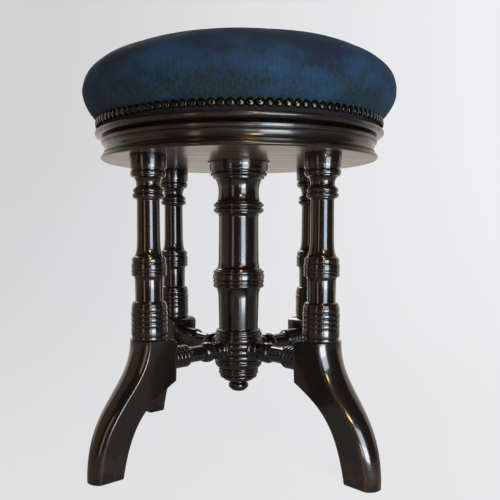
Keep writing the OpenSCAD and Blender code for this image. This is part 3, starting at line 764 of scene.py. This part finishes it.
bm = spun([(0, PLATFORM_LOW), *lift, *recess], ROUND_STEPS)
mark_timber(bm, along="X", shift=3.3)
seat_piece("moulded_platform", bm, wood_platform, "base", ["platform"])

# %% Seat board
BOARD_MARKS = [
    ("ovolo", 0.5500, 0.960, 1.00), ("line", 0.1500, 1.00),
    ("round", 0.3000, 1.00, 0.985),
]
REBATE_Z = low("edge_band")
REBATE_R = reach("seat_board", above=BOARD_TOP - 0.5 * MM)
PLATE_R = reach("seat_plate")
PLATE_THICK = 5 * MM
PLATE_TOP = BOARD_LOW + PLATE_THICK
edge = [(r, z + BOARD_LOW) for r, z in outline_of(BOARD_MARKS, REBATE_Z - BOARD_LOW, BOARD_R)]
under = [(0, PLATE_TOP), (PLATE_R + FITTED, PLATE_TOP), (PLATE_R + FITTED, BOARD_LOW)]
rebate = [(REBATE_R, REBATE_Z), (REBATE_R, BOARD_TOP), (0, BOARD_TOP)]
bm = spun([*under, *edge, *rebate], ROUND_STEPS)
mark_timber(bm, along="X", shift=4.9)
seat_piece("moulded_seat_board", bm, wood_board, "seat", ["seat_board"])

# %% [markdown]
# ## The sabre legs
# A sabre leg is sawn from a plank to a curve, so its two sides are flat, and its back is shaped
# round with a spokeshave. The arris between the round and the flat catches every knock and wears
# to a bright line. The leg is built as a chimney of level sections: one ring of points is
# extruded upwards again and again, and each new ring is set to the leg's outline at its height.
# The outline's two curves are the same curves that the frame's leg follows.

# %% Outline of the leg
FOOT_OUTER, FOOT_INNER = 209.5 * MM, 180.5 * MM
LEG_OUTER, FACE_LOW = 149.5 * MM, 100 * MM
LEG_HALF_TOP, LEG_HALF_FOOT = 20.5 * MM, 12.5 * MM
CROWN_DEPTHS = ((0.0, 7.5 * MM), (0.5, 8.5 * MM), (1.0, 8.0 * MM))
CORNER_IN, CORNER_H = 11 * MM, 6 * MM
SIDE_EASED = 1.2 * MM
OUTER_PULLS = (0.00, 0.63, 0.99, 0.565)
INNER_PULLS = (0.55, 0.79, 0.86, 0.655)
CURVE_POINTS = 120


def leg_curve(top_out, top_z, foot_out, pulls):
    """(height, distance out) down one edge of the leg, on a curve that two handles pull."""
    spread = foot_out - top_out
    handles = [(top_out, 0, top_z), (top_out + pulls[0] * spread, 0, pulls[1] * top_z),
               (top_out + pulls[2] * spread, 0, pulls[3] * top_z), (foot_out, 0, 0)]
    points = interpolate_bezier(*(Vector(h) for h in handles), CURVE_POINTS)
    return [(p.z, p.x) for p in points]


def across(table, z):
    """The value at z in a table of (z, value) rows that falls or rises steadily in z."""
    rows = sorted(table)
    if z <= rows[0][0]:
        return rows[0][1]
    for (z0, a), (z1, b) in zip(rows, rows[1:]):
        if z <= z1:
            return a + (b - a) * (z - z0) / (z1 - z0)
    return rows[-1][1]


outer_curve = leg_curve(LEG_OUTER, LEG_TOP, FOOT_OUTER, OUTER_PULLS)
inner_curve = leg_curve(LEG_INNER, FACE_LOW, FOOT_INNER, INNER_PULLS)


def inner_edge(z):
    """How far out the leg's inner edge lies, with its small hollow corner at the top."""
    if z < FACE_LOW:
        return across(inner_curve, z)
    into_corner = max(0.0, z - (LEG_TOP - CORNER_H)) / CORNER_H
    return LEG_INNER + CORNER_IN * (1 - math.sqrt(max(0.0, 1 - into_corner ** 2)))


print(f"leg at 50 mm: {inner_edge(0.05) / MM:.1f} to {across(outer_curve, 0.05) / MM:.1f} mm out")

# %% Sections of the leg
CROWN_STEPS = 16
ARRIS = 1.3 * MM
ARRIS_STEPS = 4
FLARE_LEVELS, STRAIGHT_LEVELS, CORNER_LEVELS = 30, 8, 8


def leg_section(z):
    """Points round one level section, each with how proud it stands, and the middle of it."""
    half = LEG_HALF_FOOT + (LEG_HALF_TOP - LEG_HALF_FOOT) * z / LEG_TOP
    depth = across(CROWN_DEPTHS, z / LEG_TOP)
    inner, outer = inner_edge(z), across(outer_curve, z)
    radius = (half * half + depth * depth) / (2 * depth)
    swing = math.asin(half / radius)
    centre = outer + depth - radius
    near = swing * (1 - ARRIS / half)
    start, corner = (outer - ARRIS, half), (outer, half)
    end = (centre + radius * math.cos(near), radius * math.sin(near))
    side = [(inner + SIDE_EASED, half, 0.25), (inner + 3 * SIDE_EASED, half, 0.0),
            ((inner + outer) / 2, half, 0.0), (outer - 3 * ARRIS, half, 0.1)]
    for i in range(ARRIS_STEPS + 1):
        t = i / ARRIS_STEPS
        curve = zip(start, corner, end)
        s, y = ((1 - t) ** 2 * a + 2 * t * (1 - t) * b + t * t * c for a, b, c in curve)
        side.append((s, y, 0.5 + 0.5 * math.sin(math.pi * t)))
    face = [(inner, half - SIDE_EASED, 0.25),
            (inner + 0.35 * SIDE_EASED, half - 0.35 * SIDE_EASED, 0.5)]
    crown = []
    for i in range(1, CROWN_STEPS):
        angle = swing * (1 - 2 * i / CROWN_STEPS)
        proud = 0.35 if i in (1, CROWN_STEPS - 1) else 0.0
        crown.append((centre + radius * math.cos(angle), radius * math.sin(angle), proud))
    ring = face + side + crown
    ring += [(s, -y, p) for s, y, p in reversed(face + side)]
    return ring, (inner + outer) / 2


straight = LEG_TOP - CORNER_H - FACE_LOW
levels = [FACE_LOW * i / FLARE_LEVELS for i in range(FLARE_LEVELS + 1)]
levels += [FACE_LOW + straight * i / STRAIGHT_LEVELS for i in range(1, STRAIGHT_LEVELS + 1)]
levels += [LEG_TOP - CORNER_H + CORNER_H * math.sin(math.pi / 2 * i / CORNER_LEVELS)
           for i in range(1, CORNER_LEVELS + 1)]
print(len(levels), "levels of", len(leg_section(0.05)[0]), "points")

# %% [markdown]
# The foot and the top end in flat faces. The foot's edge is eased by drawing in the lowest ring a
# little, as years of dragging over carpets have done. The frame's legs stand on the diagonals, so
# the finished leg is swung round to its corner.

# %% Legs
FOOT_EASED = 0.7 * MM
FOOT_HALF = 14 * MM


def build_leg(shift):
    """A leg along +X, as a chimney of level rings from the foot up."""
    bm = bmesh.new()
    proud = bm.verts.layers.float.new("proud")
    timber = bm.verts.layers.float_vector.new("timber")

    def set_ring(verts, z, draw_in=0.0):
        ring, middle = leg_section(z)
        for vert, (s, y, p) in zip(verts, ring):
            pull = 1 - draw_in / FOOT_HALF
            vert.co = (middle + (s - middle) * pull, y * pull, z)
            vert[proud] = max(p, 0.6 if draw_in else 0.0)
            vert[timber] = Vector((s - middle + shift, y + 2 * shift, z + 3 * shift))

    count = len(leg_section(0)[0])
    ring = [bm.verts.new((0, 0, 0)) for _ in range(count)]
    edges = [bm.edges.new((ring[i], ring[(i + 1) % count])) for i in range(count)]
    set_ring(ring, 0.0, draw_in=FOOT_EASED)
    bm.faces.new(ring)
    steps = [(FOOT_EASED, 0.0)] + [(z, 0.0) for z in levels[1:]]
    for z, draw_in in steps:
        made = bmesh.ops.extrude_edge_only(bm, edges=edges)["geom"]
        edges = [e for e in made if isinstance(e, bmesh.types.BMEdge)]
        new = {v for v in made if isinstance(v, bmesh.types.BMVert)}
        ring = [next(e.other_vert(v) for e in v.link_edges if e.other_vert(v) in new) for v in ring]
        set_ring(ring, z, draw_in)
    bm.faces.new(ring)
    return bm


for index, (corner, degrees) in enumerate(CORNERS.items()):
    bm = build_leg(shift=0.45 * (index + 1))
    laid(bm, turn=math.radians(degrees))
    seat_piece(f"{corner}_sabre_leg", bm, wood_leg, "base", [f"{corner}_leg"])

# %% [markdown]
# ## The cushion
# Curled horsehair under calico and velvet makes a full, domed seat whose side bulges over the
# board and is strained down to the nails. The shell starts as a spun line, closed underneath by
# the flat that rests on the board. It is then pleated and dented, and Blender's cloth swells it.

# %% The cushion's line
HEM_OUT = REBATE_R + 3.0 * MM
BULGE_Z = BOARD_TOP + 33.5 * MM
CROWN_DIP_SHARE = 0.163
CROWN_WIDTH_POWER, CROWN_HEIGHT_POWER, SIDE_POWER = 0.764, 0.67, 0.75


def cushion_line(side_steps=16, crown_steps=30):
    """The cover's line from the hem up the side and over to the middle of the crown."""
    bulge = BULGE_Z - BOARD_TOP
    crown_low = BULGE_Z - CROWN_DIP_SHARE * (CUSHION_TOP - BULGE_Z)
    rise = CUSHION_TOP - crown_low
    start = math.acos(((BULGE_Z - crown_low) / rise) ** (1 / CROWN_HEIGHT_POWER))
    points = [(HEM_OUT, HEM_Z), (HEM_OUT, (HEM_Z + BOARD_TOP) / 2)]
    for i in range(side_steps + 1):
        out = math.sin(math.pi / 2 * i / side_steps) ** SIDE_POWER
        points.append((HEM_OUT + (CUSHION_R - HEM_OUT) * out, BOARD_TOP + bulge * i / side_steps))
    for i in range(1, crown_steps + 1):
        angle = start * (1 - i / crown_steps)
        points.append((CUSHION_R * math.sin(angle) ** CROWN_WIDTH_POWER,
                       crown_low + rise * math.cos(angle) ** CROWN_HEIGHT_POWER))
    return points


print("cushion line of", len(cushion_line()), "points")

# %% The cushion
NAILS = 112
STEPS_TO_A_NAIL = 3
FLAT_Z = BOARD_TOP + FITTED
SKIRT_R = REBATE_R + 0.15 * MM
under = [(0, FLAT_Z), (SKIRT_R, FLAT_Z), (SKIRT_R, HEM_Z)]
bm = spun([*under, *cushion_line()], NAILS * STEPS_TO_A_NAIL, eased=0)
cushion = seat_piece("velvet_cushion", bm, velvet_finish, "seat",
                     ["velvet_cover", "calico_cover", "hair_stuffing"])

# %% [markdown]
# Before it is swelled, the cloth gets what the upholsterer's hands gave it. Each nail draws a
# small dent, the fullness between the nails stands out in short pleats that die away up the side,
# and lumps in the hair lift the crown a little here and there. These are moves of the vertices
# outwards or inwards, by a formula and a smooth noise, so they are the same on every run.

# %% Pleats and lumps
PLEAT_RISE = 26 * MM
NAIL_DENT, PLEAT_DEPTH, LUMP = 0.55 * MM, 0.85 * MM, 1.3 * MM
PLEATS_ROUND, PLEATS_UP, LUMPS = 13.0, 9.0, 14.0


def held_down(at, below, inside, flat_to):
    """Whether a point is on the hem, or on the flat that rests on the board."""
    return at.z < below or math.hypot(at.x, at.y) < inside and at.z < flat_to


moved = 0.0
for vert in cushion.data.vertices:
    at = vert.co.copy()
    if held_down(at, BOARD_TOP - 2 * MM, REBATE_R - 10 * MM, BOARD_TOP + 2 * MM):
        continue
    angle = math.atan2(at.y, at.x)
    out = Vector((at.x, at.y, 0)).normalized()
    fade = max(0.0, 1 - (at.z - BOARD_TOP) / PLEAT_RISE)
    ring = Vector((math.cos(angle), math.sin(angle), 0))
    dent = -NAIL_DENT * (0.5 + 0.5 * math.cos(NAILS * angle)) * fade ** 3
    pleat = PLEAT_DEPTH * noise.noise(ring * PLEATS_ROUND + Vector((0, 0, at.z * PLEATS_UP)))
    pleat = pleat * min(1.0, 1.6 * fade) * fade ** 0.5
    lump = LUMP * noise.noise(at * LUMPS + Vector((3.1, 0.7, 1.9))) * (1 - fade)
    vert.co = at + out * (dent + pleat) + at.normalized() * lump
    moved = max(moved, (vert.co - at).length)
print(f"pleats and lumps move the cloth by up to {moved / MM:.1f} mm")

# %% [markdown]
# Blender's cloth swells the shell from inside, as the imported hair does, with the nailed hem and
# the flat underneath pinned. Gravity is off, because hair fills the cover tightly. No point may
# move more than a millimetre, so the seat keeps its outline. The solver never repeats itself
# exactly, so a point may land a little over a millimetre away on the next run. The result is
# written into the mesh and the cloth is taken off again. The spin is fine enough to look round,
# so no subdivision follows: it would be very slow at the crown, where hundreds of faces meet in
# one point.

# %% Swell the cushion with cloth
MOST_SWELL = 1.0 * MM


def swell(piece, frames=20):
    """Runs the cloth on a piece and keeps the result, held to a small move."""
    scene = bpy.context.scene
    pinned = piece.vertex_groups.new(name="nailed")
    held = [v.index for v in piece.data.vertices
            if held_down(v.co, BOARD_TOP, REBATE_R + MM, BOARD_TOP + MM)]
    pinned.add(held, 1.0, "REPLACE")
    cloth = piece.modifiers.new("cloth", "CLOTH")
    cloth.settings.quality = 6
    cloth.settings.mass = 0.4
    cloth.settings.tension_stiffness = 25
    cloth.settings.compression_stiffness = 12
    cloth.settings.bending_stiffness = 1.5
    cloth.settings.use_pressure = True
    cloth.settings.uniform_pressure_force = 4
    cloth.settings.effector_weights.gravity = 0
    cloth.settings.vertex_group_mass = pinned.name
    cloth.point_cache.frame_start, cloth.point_cache.frame_end = 1, frames
    for now in range(1, frames + 1):
        scene.frame_set(now)
    swelled = piece.evaluated_get(bpy.context.evaluated_depsgraph_get()).data
    furthest = 0.0
    places = []
    for before, after in zip(piece.data.vertices, swelled.vertices):
        move = after.co - before.co
        furthest = max(furthest, move.length)
        places.append(before.co + move * min(1.0, MOST_SWELL / max(move.length, 1e-9)))
    piece.modifiers.remove(cloth)
    piece.vertex_groups.remove(pinned)
    scene.frame_set(1)
    for vert, place in zip(piece.data.vertices, places):
        vert.co = place
    print(f"the cloth moved by up to {furthest / MM:.1f} mm, kept to {MOST_SWELL / MM:.1f} mm")


swell(cushion)

# %% [markdown]
# ## Close nailing
# A single row of dome nails, head to head, hides the velvet's hem. One nail is spun from a short
# line and copied round the board. No row driven by hand is perfect, so each nail leans and strays
# by a hair, from a seeded draw that is the same on every run.

# %% Dome nails
NAIL_HEAD_R, NAIL_DOME = 4.7 * MM, 2.6 * MM
RIM_SHARE, BACK_SHARE = 0.25, 0.96
NAIL_BACK = reach("dome_nails") - NAIL_DOME
NAIL_STRAY = 0.16 * MM
NAIL_LEAN = math.radians(4)
NAIL_STEPS, DOME_STEPS = 14, 5


def one_nail():
    """A nail's head about Z: a short rolled rim and a round dome."""
    line = [(0, 0), (NAIL_HEAD_R * BACK_SHARE, 0), (NAIL_HEAD_R, RIM_SHARE * NAIL_DOME)]
    line += [(NAIL_HEAD_R * math.cos(a), NAIL_DOME * (RIM_SHARE + (1 - RIM_SHARE) * math.sin(a)))
             for a in (math.pi / 2 * i / DOME_STEPS for i in range(1, DOME_STEPS + 1))]
    bm = spun([(max(r, 0.0), z) for r, z in line], NAIL_STEPS, eased=0)
    proud = bm.verts.layers.float["proud"]
    for vert in bm.verts:
        vert[proud] = max(0.0, vert.co.z / NAIL_DOME)
    return bm


def nail_row():
    """All the nails round the board, each with its own tone, lean and stray."""
    random.seed(112)
    row = bmesh.new()
    for i in range(NAILS):
        nail = one_nail()
        each = nail.verts.layers.float.new("each_nail")
        tone = random.random()
        for vert in nail.verts:
            vert[each] = tone
        lean = Matrix.Rotation(random.uniform(-NAIL_LEAN, NAIL_LEAN), 4, "X")
        lean = lean @ Matrix.Rotation(random.uniform(-NAIL_LEAN, NAIL_LEAN), 4, "Y")
        sideways, upward = (random.uniform(-1, 1) * NAIL_STRAY for _ in range(2))
        at = Vector((NAIL_BACK, sideways, NAIL_Z + upward))
        matrix = Matrix.Rotation(math.tau * i / NAILS, 4, "Z") @ Matrix.Translation(at)
        matrix = matrix @ Matrix.Rotation(math.pi / 2, 4, "Y") @ lean
        bmesh.ops.transform(nail, matrix=matrix, verts=nail.verts[:])
        mesh = mesh_of("one_nail", nail)
        row.from_mesh(mesh)
        bpy.data.meshes.remove(mesh)
    return row


seat_piece("close_nails", nail_row(), bronze_finish, "seat", ["dome_nails"])

# %% Edge band
BAND_TOP = high("edge_band")
BAND_OUT = reach("edge_band")
BAND_LOW = REBATE_Z + 0.05 * MM
EDGE_IN, EDGE_UP = 0.4 * MM, 1.2 * MM
middle = (REBATE_Z + BAND_TOP) / 2
line = [(REBATE_R + FITTED, BAND_LOW), (BAND_OUT - EDGE_IN, BAND_LOW),
        (BAND_OUT, REBATE_Z + EDGE_UP), (BAND_OUT, middle), (BAND_OUT, BAND_TOP - EDGE_UP),
        (BAND_OUT - EDGE_IN, BAND_TOP), (REBATE_R + FITTED, BAND_TOP)]
bm = spun(line, ROUND_STEPS, closed=True, eased=0)
mark_timber(bm)
seat_piece("black_edge_band", bm, braid_finish, "seat", ["edge_band"])

# %% [markdown]
# ## The iron screw
# The seat turns on a square-threaded iron screw of a quarter-inch pitch. The thread is a spin
# that also climbs: a small square tooth is swept round the shaft while its centre rises by one
# pitch a turn.

# %% Screw with its thread
SCREW_R = reach("seat_screw")
SCREW_LOW = low("seat_screw")
PITCH = 6.35 * MM
TOOTH, TOOTH_WIDE, TOOTH_SLANT = 1.7 * MM, 3.2 * MM, 0.3 * MM
TURN_STEPS = 40
CORE_R, END_R = SCREW_R - TOOTH, SCREW_R - 4 * MM
UNTHREADED = 20 * MM
thread_low = low("end_nut") + UNTHREADED
turns = int((BOARD_LOW - thread_low) / PITCH) - 1
core_low = thread_low - 5 * MM
bm = spun([(0, SCREW_LOW), (END_R, SCREW_LOW), (END_R, core_low),
           (CORE_R, core_low), (CORE_R, PLATE_TOP), (0, PLATE_TOP)], TURN_STEPS)
root_r, crest_r = CORE_R - TOOTH_SLANT, SCREW_R - FITTED
tooth = [bm.verts.new((r, 0, thread_low + up)) for r, up in
         ((root_r, 0), (crest_r, TOOTH_SLANT),
          (crest_r, TOOTH_WIDE - TOOTH_SLANT), (root_r, TOOTH_WIDE))]
ends = [bm.edges.new((tooth[i], tooth[(i + 1) % 4])) for i in range(4)]
bm.faces.new(tooth)
swept = bmesh.ops.spin(bm, geom=[*tooth, *ends], cent=(0, 0, 0), axis=(0, 0, 1),
                       dvec=(0, 0, PITCH / TURN_STEPS), angle=math.tau * turns,
                       steps=TURN_STEPS * turns)
last = [g for g in swept["geom_last"] if isinstance(g, bmesh.types.BMEdge)]
bmesh.ops.contextual_create(bm, geom=last)
seat_piece("threaded_screw", bm, screw_finish, "seat", ["seat_screw"])

# %% [markdown]
# ## Small iron that shows when the seat is up
# Lifting the seat shows the nut's flange in the platform and the plate under the seat, each held
# by wood screws. Their solids already have the right shapes, so they keep them and get a finish:
# dark cast iron for the nut and plate, and duller steel for the screws, pin and washer.

# %% Finishes for the rest of the iron
for node, finish in (("column_nut", cast_finish), ("seat_plate", cast_finish),
                     ("end_nut", cast_finish), ("plate_screws", steel_finish),
                     ("nut_screws", steel_finish), ("end_pin", steel_finish),
                     ("stop_washer", steel_finish)):
    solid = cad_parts[node]
    solid.data.materials.clear()
    solid.data.materials.append(finish)
print("iron dressed")

# %% [markdown]
# ## A pale sweep and plain studio light
# A curved sweep of pale card has no horizon. The card glows a little towards the camera and in
# reflections, so that it stays pale without more light on the stool, and still takes its shadow.
# The room is dim, which keeps the black polish black: polish shows what is round it, so most of
# the look of a turned shaft is where the lamps stand. Two cool softboxes, one over the other,
# close on the right, give each shaft its long bright streak, brighter near the floor, and a low
# narrow one beside them doubles the streak there. A tall warm one on the left and a broad faint
# one beyond it brown the far side, and two small warm lamps glint on the upper side of every
# bead. A soft one high behind shows the back of the stool to anyone who walks round it. In
# reflections the floor in front is darker than the backdrop, as it is when a backdrop has lamps
# of its own: the thin pale lines along the shafts' edges and the sheen under the platform are
# that backdrop, seen at a glancing angle. The card shades off a little to the left, and it shows
# slightly warm in the polish.

# %% Floor and backdrop
SWEEP_FRONT, SWEEP_BACK, SWEEP_HALF, SWEEP_TOP, SWEEP_BEND = -4.0, 2.2, 6.0, 5.6, 1.6
BEND_STEPS = 24
CARD, CARD_MOTTLE = colour(0.31, 0.31, 0.32), colour(0.33, 0.33, 0.34)
PALE = (0.98, 0.98, 1.0)
LEFT_PALE = (0.735, 0.735, 0.75)
WARM_PALE = (0.86, 0.775, 0.69)
SHADE_HALF = 0.9
CARD_GLOW = 0.86
CARD_IN_POLISH = 0.04
BEHIND_FROM, BEHIND_TO = 0.15, 0.90
profile = [(SWEEP_FRONT, 0.0), (SWEEP_BACK - SWEEP_BEND, 0.0)]
profile += [(SWEEP_BACK - SWEEP_BEND + SWEEP_BEND * math.sin(a), SWEEP_BEND * (1 - math.cos(a)))
            for a in (math.pi / 2 * i / BEND_STEPS for i in range(1, BEND_STEPS + 1))]
profile += [(SWEEP_BACK, SWEEP_TOP)]
bm = bmesh.new()
line = [bm.verts.new((-SWEEP_HALF, y, z - 0.2 * MM)) for y, z in profile]
edges = [bm.edges.new(pair) for pair in zip(line, line[1:])]
made = bmesh.ops.extrude_edge_only(bm, edges=edges)["geom"]
far_side = [v for v in made if isinstance(v, bmesh.types.BMVert)]
bmesh.ops.translate(bm, vec=(2 * SWEEP_HALF, 0, 0), verts=far_side)
for face in bm.faces:
    face.smooth = True
sweep = in_scene("pale_sweep", mesh_of("pale_sweep", bm))
card = Finish("pale_card")
mottle = card.noise(card.place(), 3.0, 2.0)
card.surface(Base_Color=card.colour_mix(mottle, CARD, CARD_MOTTLE), Roughness=0.9)
from_left = card.along(0, card.place()).ramp(-SHADE_HALF, SHADE_HALF)
tone = card.colour_mix(from_left, colour(*LEFT_PALE), colour(*PALE))
tone = card.colour_mix(card.is_ray("Glossy"), tone, colour(*WARM_PALE))
glow = card.add("ShaderNodeEmission", None, {"Color": tone})
behind = card.along(1, card.place()).ramp(BEHIND_FROM, BEHIND_TO)
seen = card.background_share(behind * (1 - CARD_IN_POLISH) + CARD_IN_POLISH) * CARD_GLOW
lit_card = Signal(card, card.shader.outputs[0])
shown = card.add("ShaderNodeMixShader", None, {0: seen, 1: lit_card, 2: glow})
card.feed(card.output.inputs["Surface"], shown)
sweep.data.materials.append(card.material)
print("sweep of", len(sweep.data.polygons), "faces")

# %% Room
ROOM_LIGHT = 0.28
ROOM_IN_POLISH = 0.03
ROOM_SEEN = 0.82
world = bpy.data.worlds.new("studio")
bpy.context.scene.world = world
world.use_nodes = True
room = Recipe(world.node_tree)
unlit = ROOM_LIGHT - room.is_ray("Glossy") * (ROOM_LIGHT - ROOM_IN_POLISH)
dim = room.add("ShaderNodeBackground", None, {"Color": colour(0.93, 0.96, 1.0), "Strength": unlit})
pale = room.add("ShaderNodeBackground", None, {"Color": colour(*PALE), "Strength": ROOM_SEEN})
seen = room.background_share(0.0)
output = room.tree.nodes.new("ShaderNodeOutputWorld")
shown = room.add("ShaderNodeMixShader", None, {0: seen, 1: dim, 2: pale})
room.feed(output.inputs["Surface"], shown)
print("room light", ROOM_LIGHT)

# %% Lights
def softbox(name, at, aim, width, height, radiance, tint):
    """A glowing panel; its radiance is how bright it shows in the polish."""
    data = bpy.data.lights.new(name, "AREA")
    data.shape = "RECTANGLE"
    data.size, data.size_y = width, height
    data.energy = radiance * math.pi * width * height
    data.color = tint
    lamp = in_scene(name, data)
    lamp.location = at
    lamp.rotation_euler = (Vector(aim) - Vector(at)).to_track_quat("-Z", "Y").to_euler()
    print(f"{name}: {data.energy:.1f} W")


softbox("cool_softbox", (0.468, -0.827, 0.33), (0, 0, 0.33), 0.38, 0.26, 11.0, (0.76, 0.88, 1.0))
softbox("cool_softbox_low", (0.468, -0.827, 0.10), (0, 0, 0.10), 0.36, 0.20, 20.0,
        (0.86, 0.93, 1.0))
softbox("narrow_softbox", (0.175, -0.934, 0.09), (0, 0, 0.09), 0.12, 0.16, 9.0, (0.90, 0.94, 1.0))
softbox("warm_softbox", (-0.60, -1.05, 0.35), (0, 0, 0.35), 0.16, 0.7, 3.0, (1.0, 0.68, 0.44))
softbox("warm_wall", (-1.10, -0.30, 0.45), (0, 0, 0.30), 0.90, 0.9, 0.35, (1.0, 0.66, 0.42))
softbox("warm_lamp", (0.27, -0.98, 0.60), (0, 0, 0.36), 0.16, 0.10, 40.0, (1.0, 0.66, 0.30))
softbox("warm_overhead", (0.26, -1.0, 2.1), (0, 0, 0.38), 0.22, 0.22, 60.0, (1.0, 0.72, 0.42))
softbox("back_softbox", (-0.55, 1.45, 1.25), (0, 0, 0.30), 0.8, 0.6, 6.0, (0.92, 0.96, 1.0))

# %% [markdown]
# ## Finish
# Blender's own view settings stay plain, so that colours show as they are written.

# %% Plain view settings
bpy.context.scene.view_settings.view_transform = "Standard"
